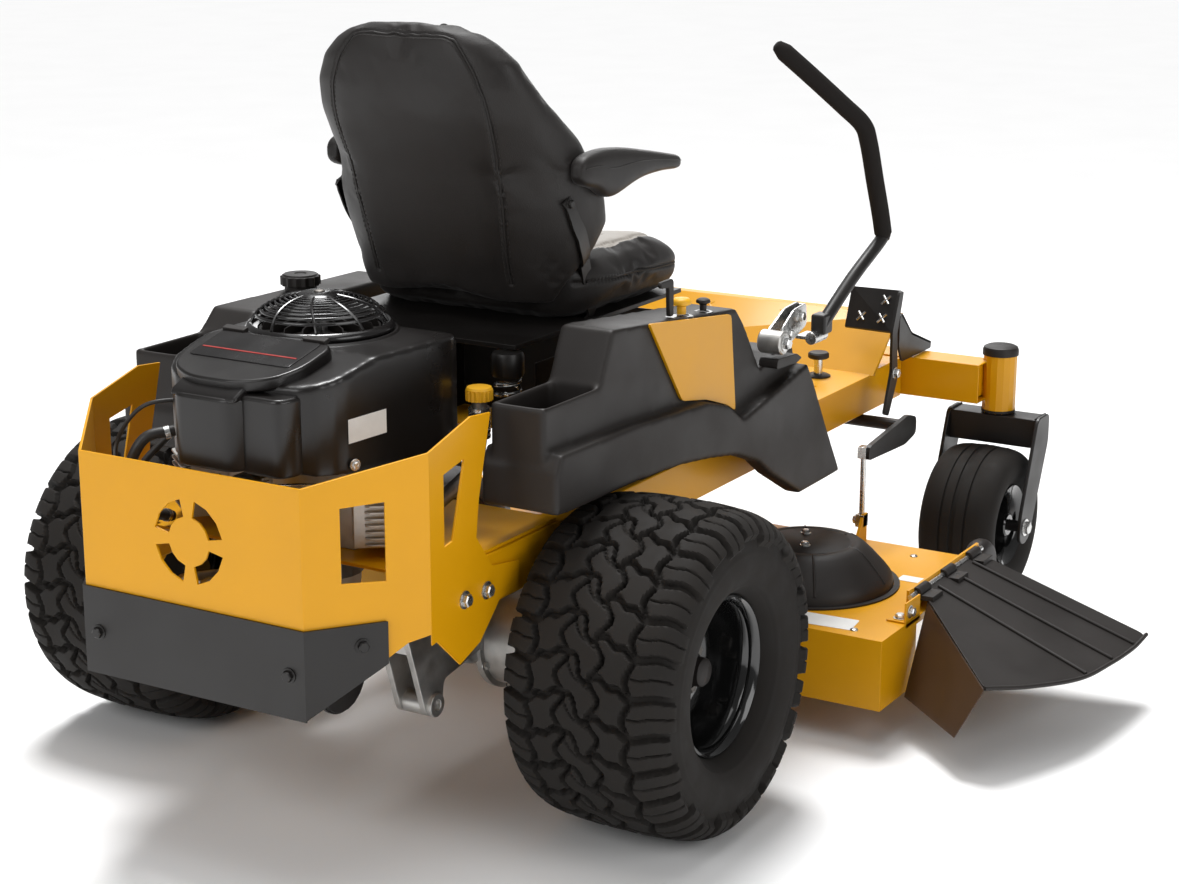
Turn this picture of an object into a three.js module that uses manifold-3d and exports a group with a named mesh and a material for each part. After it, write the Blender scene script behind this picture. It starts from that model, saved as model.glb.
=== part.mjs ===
// Zero turn ride-on mower: two driven rear wheels, two front casters, a belly-mounted three-blade deck,
// a rear vertical-shaft V-twin engine and a high-back seat.
// Machine frame while modelling, in millimetres: x forward from the rear axle, y to the left from the
// centreline, z up from the ground. The finished group is moved so its origin is the centre of its footprint.
import * as THREE from 'three';
import { mergeVertices } from 'three/addons/utils/BufferGeometryUtils.js';
import Module from 'manifold-3d';

const wasm = await Module();
wasm.setup();

// Driving dimensions.
const GAP = 0.4;                                  // clearance between touching pieces
const DRIVE = { radius: 278, width: 310, y: 518, sides: 26 };
const CASTER = { radius: 165, width: 166, x: 1388, y: 530, pivotX: 1473, sides: 22 };
const RAIL = { outer: 333, wall: 4, width: 50, bottom: 415, top: 500, rear: -396, front: 1399 };
const GUARD = { bendX: -399, halfWidth: 337.5, rearX: -560, rearHalf: 217, sheet: 4 };
const DECK = { top: 206, bottom: 72, rear: 468, front: 1015, right: -709, left: 690, sheet: 4 };
const BLADE = { radius: 226, z: 98, width: 62, thick: 6 };
const CRANK = { x: -222, y: -5 };
const SEAT_HALF = 230;
const FENDER_OUTER = 446;
const SPINDLES = { right: [722, -456], centre: [782, 0], left: [722, 456] };

// Paint, plastic, rubber and metal colours.
const paint = (color, roughness, metalness = 0) =>
  new THREE.MeshStandardMaterial({ color, roughness, metalness });
const YELLOW = paint(0xd99a00, 0.4);
const BLACK_PAINT = paint(0x1b1817, 0.45);
const BLACK_PLASTIC = paint(0x2b2523, 0.55);
const SHROUD_PLASTIC = paint(0x1f1b1a, 0.4);
const RUBBER = paint(0x2a2725, 0.9);
const FOAM = paint(0x2c2826, 0.95);
const RIM_BLACK = paint(0x0f0e0e, 0.2);
const VINYL = paint(0x231e1b, 0.55);
const ALUMINIUM = paint(0xb4b2ad, 0.45, 0.8);
const ZINC = paint(0xc4c4c2, 0.35, 0.9);
const STEEL = paint(0x6d6a66, 0.5, 0.8);
const KNOB_YELLOW = paint(0xe0a000, 0.5);

const mower = new THREE.Group();

// ---------- geometry helpers ----------

const vec = (x, y, z) => new THREE.Vector3(x, y, z);
const radians = THREE.MathUtils.degToRad;

const PLANE_OF = {
  x: new THREE.Matrix4().makeBasis(vec(0, 1, 0), vec(0, 0, 1), vec(1, 0, 0)),
  y: new THREE.Matrix4().makeBasis(vec(1, 0, 0), vec(0, 0, 1), vec(0, -1, 0)),
  z: new THREE.Matrix4(),
};

// A flat outline, [y, z], [x, z] or [x, y], carried along x, y or z between two stations.
function prism(axis, outline, from, to, holes = []) {
  const shape = new THREE.Shape(outline.map((p) => new THREE.Vector2(...p)));
  for (const hole of holes) shape.holes.push(new THREE.Path(hole.map((p) => new THREE.Vector2(...p))));
  const geometry = new THREE.ExtrudeGeometry(shape, { depth: to - from, bevelEnabled: false });
  geometry.translate(0, 0, axis === 'y' ? -to : from);
  return geometry.applyMatrix4(PLANE_OF[axis]);
}

const box = (x0, x1, y0, y1, z0, z1) => prism('z', [[x0, y0], [x1, y0], [x1, y1], [x0, y1]], z0, z1);

function circle(cx, cy, radius, sides = 16) {
  return Array.from({ length: sides }, (_, i) => {
    const angle = (2 * Math.PI * (i + 0.5)) / sides;
    return [cx + radius * Math.cos(angle), cy + radius * Math.sin(angle)];
  });
}

// An outline with its corners rounded by short arcs.
function rounded(points, radius, steps = 3) {
  const result = [];
  points.forEach((point, i) => {
    const corner = new THREE.Vector2(...point);
    const before = new THREE.Vector2(...points.at(i - 1)).sub(corner);
    const after = new THREE.Vector2(...points[(i + 1) % points.length]).sub(corner);
    const r = Math.min(radius, before.length() * 0.45, after.length() * 0.45);
    const start = corner.clone().addScaledVector(before.normalize(), r);
    const end = corner.clone().addScaledVector(after.normalize(), r);
    const curve = new THREE.QuadraticBezierCurve(start, corner, end);
    for (const p of curve.getPoints(steps)) result.push([p.x, p.y]);
  });
  return result;
}

// Twice the area that [radius, height] points enclose with the axis; negative when they run clockwise.
const enclosed = (points) => points.reduce((sum, [r, h], i) => {
  const [nextR, nextH] = points[(i + 1) % points.length];
  return sum + r * nextH - nextR * h;
}, 0);

// A body of revolution from [radius, height] points, about the y axis of the mower or about z.
function turned(points, sides, axis = 'z') {
  const ordered = enclosed(points) < 0 ? [...points].reverse() : points;
  const geometry = new THREE.LatheGeometry(ordered.map((p) => new THREE.Vector2(...p)), sides);
  geometry.rotateY(Math.PI / sides);
  if (axis === 'z') geometry.rotateX(Math.PI / 2);
  return geometry;
}

const closed = (points) => [...points, points[0]];

// A round bar or tube along a smooth route.
function bar(route, radius, sides = 12, steps = 24, inner = 0) {
  const shape = new THREE.Shape(circle(0, 0, radius, sides).map((p) => new THREE.Vector2(...p)));
  if (inner) shape.holes.push(new THREE.Path(circle(0, 0, inner, sides).map((p) => new THREE.Vector2(...p))));
  const curve = new THREE.CatmullRomCurve3(route.map((p) => vec(...p)), false, 'catmullrom', 0.35);
  return new THREE.ExtrudeGeometry(shape, { steps, extrudePath: curve });
}

const solidOf = new WeakMap();

// A closed geometry as a solid that can be joined and cut.
function toSolid(geometry) {
  if (solidOf.has(geometry)) return solidOf.get(geometry);
  const bare = geometry.clone();
  bare.deleteAttribute('normal');
  bare.deleteAttribute('uv');
  const welded = mergeVertices(bare, 1e-3);
  const index = welded.index.array;
  const faces = [];
  for (let i = 0; i < index.length; i += 3) {
    const [a, b, c] = index.slice(i, i + 3);
    if (a !== b && b !== c && c !== a) faces.push(a, b, c);
  }
  const vertProperties = Float32Array.from(welded.attributes.position.array);
  const solid = (list) =>
    new wasm.Manifold(new wasm.Mesh({ numProp: 3, vertProperties, triVerts: Uint32Array.from(list) }));
  const result = solid(faces);
  return result.volume() < 0 ? solid(faces.reverse()) : result;
}

function toGeometry(solid) {
  const mesh = solid.getMesh();
  const geometry = new THREE.BufferGeometry();
  geometry.setAttribute('position', new THREE.BufferAttribute(mesh.vertProperties, 3));
  geometry.setIndex(new THREE.BufferAttribute(mesh.triVerts, 1));
  solidOf.set(geometry, solid);
  return geometry;
}

const join = (...parts) => toGeometry(parts.map(toSolid).reduce((a, b) => a.add(b)));
const cut = (base, ...tools) => toGeometry(tools.map(toSolid).reduce((a, b) => a.subtract(b), toSolid(base)));
const overlap = (...parts) => toGeometry(parts.map(toSolid).reduce((a, b) => a.intersect(b)));

// The same piece on the other side of the centreline, with its faces turned to point out again.
function mirrored(geometry) {
  const copy = geometry.clone().scale(1, -1, 1);
  const count = copy.attributes.position.count;
  const order = copy.index ? Array.from(copy.index.array) : Array.from({ length: count }, (_, i) => i);
  copy.setIndex(order.reverse());
  return copy;
}

function add(name, geometry, material, x = 0, y = 0, z = 0) {
  const mesh = new THREE.Mesh(geometry, material);
  mesh.name = name;
  mesh.position.set(x, y, z);
  mower.add(mesh);
  return mesh;
}

// A piece made for the left side and mirrored to the right.
function addPair(name, leftGeometry, material) {
  add(`${name}_left`, leftGeometry, material);
  add(`${name}_right`, mirrored(leftGeometry), material);
}

// ---------- frame ----------

function frame() {
  const inner = RAIL.outer - RAIL.width;
  const tube = (a0, a1, b0, b1) => [[a0, b0], [a1, b0], [a1, b1], [a0, b1]];
  const w = RAIL.wall;
  addPair('frame_rail', prism('x', tube(inner, RAIL.outer, RAIL.bottom, RAIL.top), RAIL.rear, RAIL.front,
    [tube(inner + w, RAIL.outer - w, RAIL.bottom + w, RAIL.top - w)]), YELLOW);

  const barrelY = CASTER.y;
  const barrel = (y) => prism('z', circle(CASTER.pivotX, y, 36), 390, 522);
  const bore = (y) => prism('z', circle(CASTER.pivotX, y, 17), 380, 530);
  const crossTube = prism('y', tube(1400, 1478, 418, 503), -barrelY + 20, barrelY - 20);
  const crossBore = prism('y', tube(1404, 1474, 422, 499), -barrelY + 10, barrelY - 10);
  const hollowTube = cut(crossTube, crossBore);
  const axle = join(hollowTube, barrel(barrelY), barrel(-barrelY));
  add('front_axle', cut(axle, bore(barrelY), bore(-barrelY)), YELLOW);

  add('engine_plate', prism('z', [[-392, -328], [-20, -328], [-20, 328], [-392, 328]],
    RAIL.top + GAP, RAIL.top + GAP + 6, [circle(CRANK.x, CRANK.y, 46)]), YELLOW);
}

// ---------- foot area ----------

function footArea() {
  const bottom = RAIL.top + GAP;
  const half = 352;
  const narrow = 298;
  const plan = [[430, -narrow], [856, -narrow], [856, -half], [1196, -half], [1196, half], [856, half],
    [856, narrow], [430, narrow]];
  add('floor_pan', prism('z', rounded(plan, 12), bottom, bottom + 5), YELLOW);
  // Sloping kick-up plate with a folded top flange.
  const plate = prism('y', [[1204, bottom], [1216, bottom], [1331, 604], [1352, 604], [1352, 609], [1325, 609]],
    -half, half);
  add('footrest_plate', plate, YELLOW);
}

// ---------- engine guard ----------

// The guard's plan: two side cheeks, two chamfers and the rear panel, outset by a distance.
function guardPlan(outset, front) {
  const { bendX, halfWidth, rearX, rearHalf } = GUARD;
  return [
    [front, halfWidth + outset], [bendX - outset * 0.32, halfWidth + outset],
    [rearX - outset, rearHalf + outset * 0.72], [rearX - outset, -rearHalf - outset * 0.72],
    [bendX - outset * 0.32, -halfWidth - outset], [front, -halfWidth - outset],
  ];
}

function guardWall(outerOffset, front, bottom, top) {
  const ring = [...guardPlan(outerOffset, front), ...guardPlan(outerOffset - GUARD.sheet, front).reverse()];
  return prism('z', ring, bottom, top);
}

// Cuts a window through the right or left chamfer; s runs along the chamfer from the rear bend.
function chamferWindow(side, outline) {
  const run = Math.hypot(GUARD.bendX - GUARD.rearX, GUARD.halfWidth - GUARD.rearHalf);
  const angle = Math.atan2(GUARD.halfWidth - GUARD.rearHalf, GUARD.bendX - GUARD.rearX);
  const geometry = prism('y', outline.map(([s, z]) => [Math.min(s, run), z]), -30, 30);
  geometry.rotateZ(angle);
  geometry.translate(GUARD.rearX, GUARD.rearHalf, 0);
  return side > 0 ? geometry : mirrored(geometry);
}

function engineGuard() {
  const wall = guardWall(0, -150, 300, 760);
  // Side profile: high front horns, sloping chamfers and a lobe that bolts to each rail.
  const sideProfile = [
    [-600, 300], [-420, 396], [-384, 402], [-322, 345], [-265, 365], [-206, 421], [-150, 421], [-150, 470],
    [-228, 482], [-272, 540], [-264, 600], [-229, 733], [-284, 738], [-397, 707], [-555, 672], [-600, 672],
  ];
  const trimmed = overlap(wall, prism('y', sideProfile, -400, 400));
  const lowCorner = (side) => chamferWindow(side, [[6, 250], [240, 250], [240, 418], [164, 410], [127, 387], [8, 309]]);
  const cheekSlot = prism('y', [[-360, 548], [-338, 552], [-303, 675], [-360, 663]], -400, 400);
  const window = [[61, 517], [131, 513], [131, 638], [61, 635]];
  // Rear opening: a ring of four curved slots around a plain boss.
  const slots = [];
  for (let i = 0; i < 4; i += 1) {
    const arc = (radius, sign) => Array.from({ length: 4 }, (_, k) => {
      const angle = radians(90 * i + 45 + sign * (-33 + (66 * k) / 3));
      return [radius * Math.cos(angle), 556 + radius * Math.sin(angle)];
    });
    slots.push(prism('x', [...arc(68, 1), ...arc(40, -1)], -600, -520));
  }
  add('engine_guard', cut(trimmed, cheekSlot, chamferWindow(1, window), chamferWindow(-1, window),
    lowCorner(1), lowCorner(-1), ...slots), YELLOW);

  // Lower plate, wrapped round the rear panel and part of each chamfer, its ends rising to the corners.
  const skirt = guardWall(GUARD.sheet + GAP, GUARD.bendX + 20, 306, 451);
  const ends = box(-458, -300, -400, 400, 300, 460);
  const risingEdge = (side) => chamferWindow(side, [[0, 250], [150, 250], [150, 394], [0, 309]]);
  add('guard_plate', cut(skirt, ends, risingEdge(1), risingEdge(-1)), BLACK_PAINT);
}

// ---------- fenders and side panels ----------

// One console with its storage tray, modelled on the left; topRear and topFront are its lid heights.
function fender(topRear, topFront) {
  const lip = [[-205, 572], [62, 567], [200, 560], [310, 546], [406, 529], [494, 496], [548, 458], [670, 392]];
  const flareLine = [...lip, [846, 396], [776, 505], [718, 600], [690, 640], [430, 590], [374, 627], [300, 648],
    [46, 664], [-190, 668], [-205, 640]];
  const flare = prism('y', flareLine, 302, FENDER_OUTER);
  const consoleLine = [[-200, 600], [60, 575], [420, 540], [690, 500], [690, 640], [680, 672], [600, 676],
    [545, 655], [484, 744], [447, topFront], [12, topRear], [-28, 742], [-200, 742]];
  const consoleBody = prism('y', consoleLine, 318, 418);
  const shell = join(flare, consoleBody);
  // The underside is open; the tray is open above.
  const underside = prism('y', [[-196, 500], [-196, 600], [-180, 655], [40, 652], [60, topRear - 14],
    [400, topFront - 4], [470, 730], [540, 640], [676, 655], [704, 600], [830, 400], [680, 380], [548, 440],
    [400, 510], [60, 500]], 326, 410);
  const tray = prism('z', rounded([[-192, 326], [-30, 326], [-30, 410], [-192, 410]], 14), 676, 900);
  const railNotch = box(380, 860, 296, RAIL.outer + GAP, 380, RAIL.top + 2);
  return cut(shell, underside, tray, railNotch);
}

function fenders() {
  add('fender_left', fender(780, 774), BLACK_PLASTIC);
  add('fender_right', mirrored(fender(828, 786)), BLACK_PLASTIC);
  // Painted panel on each console's outer face.
  const panel = (rear, front) => prism('y', rounded([[122, rear], [415, front], [437, 602], [404, 620], [326, 646],
    [238, 662]], 8, 2), 418 + GAP, 424);
  add('side_panel_left', panel(770, 764), YELLOW);
  add('side_panel_right', mirrored(panel(818, 782)), YELLOW);
  const cap = prism('z', circle(0, 0, 38, 12).map(([x, y], i) => (i % 2 ? [x * 0.88, y * 0.88] : [x, y])), 0, 32);
  add('fuel_cap', cap, BLACK_PLASTIC, 210, 372, 780);
}

// ---------- engine ----------

function engine() {
  const base = RAIL.top + 7;
  const crankcase = box(-340, -122, -150, 100, base, 768);
  const head = (side) => {
    const cylinder = box(0, 120, -70, 70, base + 20, 620);
    cylinder.rotateZ(radians(side * 52));
    cylinder.translate(-330, side * 120 - 20, 0);
    return cylinder;
  };
  add('engine_block', cut(join(crankcase, head(1), head(-1)), prism('z', circle(CRANK.x, CRANK.y, 24), 400, 900)),
    ALUMINIUM);

  // Blower shroud: rounded plan, sloping top, open underneath.
  const plan = rounded([[-470, -150], [-430, -190], [-150, -215], [-95, -190], [-80, -40], [-95, 120],
    [-200, 150], [-420, 140], [-480, 90]], 50, 2);
  const profile = [[-500, 660], [-90, 625], [-70, 640], [-78, 775], [-130, 826], [-330, 826], [-500, 790]];
  const shroud = overlap(prism('z', plan, 600, 900), prism('y', profile, -300, 300));
  const hollowPlan = rounded([[-462, -146], [-426, -182], [-152, -207], [-102, -184], [-88, -40], [-102, 114],
    [-200, 142], [-416, 132], [-472, 86]], 46, 2);
  const hollow = overlap(prism('z', hollowPlan, 580, 900),
    prism('y', [[-520, 580], [-60, 580], [-60, 640], [-86, 772], [-134, 818], [-330, 818], [-520, 780]], -300, 300));
  const intake = prism('z', circle(CRANK.x, CRANK.y, 96, 20), 780, 900);
  add('engine_shroud', cut(shroud, hollow, intake), SHROUD_PLASTIC);
}

// Lid and intake nose of the air cleaner, at the rear of the shroud.
function airCleanerCover() {
  const lid = prism('y', [[-506, 766], [-506, 799], [-478, 811], [-358, 840], [-348, 838], [-348, 823],
    [-484, 794.2], [-484, 766]], -132, 104);
  const nose = prism('z', rounded([[-525, -60], [-525, 42], [-484, 62], [-484, -76]], 16), 664, 776);
  add('air_cleaner_cover', join(lid, nose), SHROUD_PLASTIC);
}

function engineRotation() {
  // Domed rotating screen over the flywheel fan: a shell open underneath.
  const base = 838;
  const arc = (radius, rise, from, to) => Array.from({ length: 4 }, (_, i) => {
    const angle = radians(from + ((to - from) * i) / 3);
    return [Number((radius * Math.cos(angle)).toFixed(3)), base + rise * Math.sin(angle)];
  });
  const profile = [...arc(110, 52, 90, 0), [119, base], [119, base - 10], [103, base - 10], ...arc(103, 46, 0, 90)];
  add('blower_screen', turned(profile, 20), SHROUD_PLASTIC, CRANK.x, CRANK.y);
  // Double-groove crank pulley with the blade clutch below it, hung under the engine plate.
  add('crank_pulley', turned([[0, 418], [60, 418], [60, 448], [72, 450], [60, 460], [72, 470], [20, 472],
    [20, 512], [0, 512]], 18), STEEL, CRANK.x, CRANK.y);
}

function engineExtras() {
  const muffler = prism('y', circle(-470, 350, 56, 20), -222, 222);
  const outlet = prism('y', circle(-430, 352, 18, 12), 200, 246);
  add('muffler', join(muffler, outlet), BLACK_PAINT);
  const ribs = circle(0, 0, 23, 16).map(([x, y], i) => (i % 2 ? [x * 0.92, y * 0.92] : [x, y]));
  add('oil_cap', prism('z', ribs, 0, 24), KNOB_YELLOW, -118, -243, 716);
}

// ---------- wheels ----------

const flipped = (points) => points.map(([r, w]) => [r, -w]).reverse();

// A hollow tyre from one half of its section: the outside from bead to tread, the inside from crown to bead.
function tyre(outside, inside, sides) {
  return turned(closed([...outside, ...flipped(outside), ...flipped(inside), ...inside]), sides, 'y');
}

function driveWheels() {
  const { radius, y, sides } = DRIVE;
  const half = DRIVE.width / 2;
  const tread = radius / Math.cos(Math.PI / sides);
  const outside = [[122.5, 92.5], [134.8, 101], [136, 120], [180, half], [tread - 6, half - 16], [tread, half - 50]];
  const inside = [[tread - 22, half - 56], [200, half - 20], [122.5, 78]];
  const rim = [[0, 70], [28, 70], [30, 44], [60, 38], [62, 18], [110, 18], [116, 100], [133, 115], [121, 94],
    [121, -94], [133, -115], [116, -100], [110, 4], [19, 4], [19, -171], [0, -171]];
  for (const side of [1, -1]) {
    const name = side > 0 ? 'left' : 'right';
    add(`rear_tyre_${name}`, tyre(outside, inside, sides), RUBBER, 0, side * y, radius);
    const disc = turned(rim, 22, 'y');
    add(`rear_rim_${name}`, side > 0 ? disc : mirrored(disc), RIM_BLACK, 0, side * y, radius);
  }
}

function casters() {
  const { radius, x, y, pivotX, sides } = CASTER;
  const half = CASTER.width / 2;
  const tread = radius / Math.cos(Math.PI / sides);
  const outside = [[72.8, 52], [90, 63], [128, half], [tread, half - 26]];
  const inside = [[tread - 14, half - 32], [120, half - 14], [72.8, 40]];
  const rim = [[13, 66], [26, 66], [28, 16], [60, 12], [66, 58], [84, 66], [71.5, 52]];
  for (const side of [1, -1]) {
    const name = side > 0 ? 'left' : 'right';
    add(`front_tyre_${name}`, tyre(outside, inside, sides), RUBBER, x, side * y, radius);
    add(`front_rim_${name}`, turned(closed([...rim, ...flipped(rim)]), 18, 'y'), RIM_BLACK, x, side * y, radius);
    // Fork: square crossbar with a swivel stem, two leaning plates and the through axle.
    const bar = box(pivotX - 31, pivotX + 31, -98, 98, 325, 388);
    const stem = prism('z', circle(pivotX, 0, 16, 12), 380, 534);
    const link = rounded([[pivotX - 33, 392], [pivotX + 34, 392], [pivotX + 34, 330], [x + 30, 140], [x, 126],
      [x - 30, 140], [x - 26, 190]], 14, 2);
    const plates = [prism('y', link, 97, 105), prism('y', link, -105, -97)];
    const axle = prism('y', circle(x, radius, 12, 12), -110, 110);
    add(`caster_fork_${name}`, join(bar, stem, ...plates, axle), BLACK_PAINT, 0, side * y, 0);
  }
}

// Silver hydrostatic drive with its axle horn, under each frame rail.
function transaxles() {
  const body = prism('y', [[-330, 398], [-334, 336], [-230, 296], [-120, 206], [50, 190], [92, 262], [60, 366],
    [-90, 406]], 130, 318);
  const horn = prism('y', circle(0, DRIVE.radius, 38), 300, 345);
  const pulley = prism('z', circle(-20, 170, 55), 399, 411);
  addPair('transaxle', join(body, horn, pulley), ALUMINIUM);
}

// ---------- mower deck ----------

function deck() {
  const { top, bottom, rear, front, right, left, sheet } = DECK;
  const plan = [[rear, right], [front - 28, right], [front, right + 34], [front, left - 60], [front - 60, left],
    [rear + 40, left], [rear, left - 60]];
  const inset = [[rear + sheet, right + sheet], [front - 30, right + sheet], [front - sheet, right + 36],
    [front - sheet, left - 62], [front - 62, left - sheet], [rear + 42, left - sheet], [rear + sheet, left - 62]];
  const outlet = box(626, 970, right - 10, right + 30, bottom - 5, top - 14);
  const shaftHoles = Object.values(SPINDLES).map(([x, y]) => prism('z', circle(x, y, 26, 14), top - 20, top + 20));
  const shell = cut(prism('z', plan, bottom, top), prism('z', inset, bottom - 5, top - sheet), outlet, ...shaftHoles);
  // Hinge rail over the outlet, lifting lugs for the four hangers and the roller arms.
  const hingeRail = box(640, 984, -686, -681, top - 2, top + 42);
  const lug = (y) => prism('y', [[960, top - 2], [1013, top - 2], [1013, 264], [998, 264]], y - 3, y + 3);
  const rearLug = (y) => prism('y', [[474, top - 2], [524, top - 2], [500, 264], [484, 264]], y - 3, y + 3);
  const arm = (y) => prism('y', rounded([[front - 60, 150], [front + 52, 146], [front + 58, 172], [front - 10, top],
    [front - 60, top]], 8), y - 3, y + 3);
  const arms = [arm(-622), arm(612)];
  add('deck_shell', join(shell, hingeRail, lug(-430), lug(430), rearLug(-330), rearLug(330), ...arms), YELLOW);

  for (const [name, [x, y]] of Object.entries(SPINDLES)) {
    add(`spindle_${name}`, turned([[0, BLADE.z + 6.5], [24, BLADE.z + 6.5], [14, BLADE.z + 24], [14, 216],
      [70, 216], [60, 226], [70, 236], [0, 236]], 14), STEEL, x, y);
  }
  const bladeAngle = { right: 20, centre: -35, left: 62 };
  for (const [name, [x, y]] of Object.entries(SPINDLES)) {
    const { radius, width, z, thick } = BLADE;
    const half = width / 2;
    const sail = [[-radius, -half], [radius, -half], [radius, half], [-radius, half]];
    const bar = prism('z', rounded(sail, 14), z, z + thick);
    const mesh = add(`blade_${name}`, bar, STEEL, x, y);
    mesh.rotation.z = radians(bladeAngle[name]);
  }
  // Domed belt covers over the two outer pulleys, open underneath.
  const skin = [[0, 290], [104, 286], [158, 226], [164, top + 1], [160, top + 1], [154, 225], [101, 282], [0, 286]];
  for (const side of [1, -1]) {
    add(`belt_cover_${side > 0 ? 'left' : 'right'}`, turned(skin, 20), BLACK_PLASTIC, 712, side * 446);
  }
}

// A closed block with eight chosen corners: the near face's four, then the far face's four.
function block(near, far) {
  const geometry = new THREE.BoxGeometry(1, 1, 1);
  const position = geometry.attributes.position;
  for (let i = 0; i < position.count; i += 1) {
    const corner = (position.getY(i) > 0 ? 2 : 0) + (position.getX(i) > 0 ? 1 : 0);
    position.setXYZ(i, ...(position.getZ(i) > 0 ? near : far)[corner]);
  }
  return geometry;
}

const HINGE = { y: -690, z: 237, rear: 690, front: 962, slope: Math.tan(radians(18)) };

function dischargeChute() {
  const { y, z, rear, front, slope } = HINGE;
  const edge = [[rear, y - 1], [447, -914], [537, -964], [661, -1013], [778, -1030], [885, -1038], [972, -1036], [front, y - 1]];
  const plate = prism('z', edge, -4, 0).applyMatrix4(new THREE.Matrix4().set(
    1, 0, 0, 0, 0, 1, 0, 0, 0, slope, 1, z - slope * y, 0, 0, 0, 1));
  // Rear wall hanging from the plate's slanting rear edge, in one plane.
  const corners = [[y - 22, 667, 228.5], [-913, 447, 165], [y - 24, 567, 69]].map(([yy, x, zz]) => vec(x, yy, zz));
  const wallPlane = new THREE.Plane().setFromCoplanarPoints(...corners);
  const lowTip = new THREE.Ray(vec(0, -868, 69), vec(1, 0, 0)).intersectPlane(wallPlane, vec(0, 0, 0));
  const wallNear = [...corners, lowTip].map((p) => p.toArray());
  const wallFar = wallNear.map(([x, yy, zz]) => [x + 6, yy, zz - 1]);
  add('discharge_chute', join(plate, block(wallNear, wallFar)), BLACK_PLASTIC);
}

function antiScalpRollers() {
  const half = [[8, 24], [24, 24], [50, 20], [60, 8]];
  for (const side of [1, -1]) {
    add(`anti_scalp_roller_${side > 0 ? 'left' : 'right'}`, turned(closed([...half, ...flipped(half)]), 16, 'y'),
      BLACK_PLASTIC, 1078, side * 652, 164);
  }
}

// Foot pedal with its arm, and the cross shaft whose two arms carry the hangers of the deck.
function deckLift() {
  const pad = block([[1181, -400, 604], [1217, -278, 597], [1226, -400, 684], [1248, -278, 678]],
    [[1186, -400, 600], [1222, -278, 593], [1231, -400, 680], [1253, -278, 674]]);
  const arm = prism('y', rounded([[1212, 684], [1179, 604], [1182, 520], [1150, 436], [1172, 428], [1212, 500],
    [1204, 598], [1231, 682]], 6, 2), -404, -398);
  add('lift_pedal', join(pad, arm), BLACK_PAINT);

  const shaft = prism('y', circle(1215, 399, 13), -436, 436);
  const profile = rounded([[1236, 382], [1236, 418], [1196, 430], [1000, 406], [994, 378], [1180, 370]], 10, 2);
  const link = (y0, y1) => prism('y', profile, y0, y1);
  add('lift_shaft', join(shaft, link(-440, -430), link(430, 440)), BLACK_PAINT);
}

// ---------- seat ----------

function seat() {
  // Sheet support under the seat, open at the rear and below.
  const support = [[60, -240], [552, -240], [552, 240], [60, 240], [60, 236], [548, 236], [548, -236], [60, -236]];
  add('seat_support', prism('z', support, RAIL.top + 6, 742), BLACK_PAINT);

  // Seat pan with two straps that run up the sides of the back.
  const pan = box(20, 596, 6 - SEAT_HALF, SEAT_HALF - 6, 770, 778);
  const strapTop = 1004;
  const strapSide = [[108, strapTop], [136, strapTop], [286, 806], [300, 772], [240, 772], [258, 806]];
  // The straps lean inwards going down, along the narrowing back.
  const lean = 0.14;
  const strap = prism('y', strapSide, SEAT_HALF + 1, SEAT_HALF + 4).applyMatrix4(new THREE.Matrix4().set(
    1, 0, 0, 0, 0, 1, lean, -lean * strapTop, 0, 0, 1, 0, 0, 0, 0, 1));
  add('seat_pan', join(pan, strap, mirrored(strap)), BLACK_PAINT);

  const backSide = [[140, 812], [17, 1284], [44, 1301], [76, 1298], [100, 1270], [140, 1190], [245, 1090], [300, 1000],
    [318, 940], [284, 903], [188, 903], [188, 812]];
  const backEdge = [[190, 812], [204, 880], [217, 950], [224, 1020], [218, 1095], [200, 1190], [172, 1252],
    [124, 1288], [100, 1302]];
  const backFront = [...backEdge.map(([y, z]) => [-y, z]), ...backEdge.reverse()];
  const wide = SEAT_HALF + 10;
  add('seat_back', overlap(prism('y', backSide, -wide, wide), prism('x', backFront, 0, 300)), VINYL);
  const cushionSide = [[194, 782], [590, 782], [634, 806], [640, 838], [612, 872], [520, 893], [300, 898], [194, 894]];
  const cushionPlan = rounded([[194, -188], [306, -194], [380, -230], [600, -246], [645, -212], [645, 212], [600, 246],
    [380, 230], [306, 194], [194, 188]], 20, 2);
  add('seat_cushion', overlap(prism('y', cushionSide, -wide, wide), prism('z', cushionPlan, 770, 910)), VINYL);

  const armSide = rounded([[162, 1046], [180, 1074], [245, 1084], [328, 1076], [423, 1057], [502, 1036], [508, 1026],
    [360, 1021], [283, 994], [240, 998], [226, 1028]], 10, 2);
  addPair('armrest', prism('y', armSide, SEAT_HALF + 5, SEAT_HALF + 47), BLACK_PLASTIC);
}

// ---------- steering levers and switches ----------

function steering() {
  const drum = prism('y', circle(575, 702, 22), 404, 452);
  const clamp = prism('y', [[572, 690], [604, 686], [704, 712], [698, 754], [664, 752], [566, 712]], 414, 434);
  addPair('lever_bracket', join(drum, clamp), ZINC);
  const tube = bar([[690, 470, 716], [796, 481, 788], [886, 495, 845], [903, 497, 862]], 12.5, 8, 5);
  const grip = bar([[901, 497, 852], [848, 499, 970], [806, 499, 1062], [790, 488, 1094], [760, 450, 1131],
    [684, 360, 1234]], 17, 10, 9);
  addPair('lap_bar', join(tube, grip), BLACK_PAINT);
}

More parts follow.
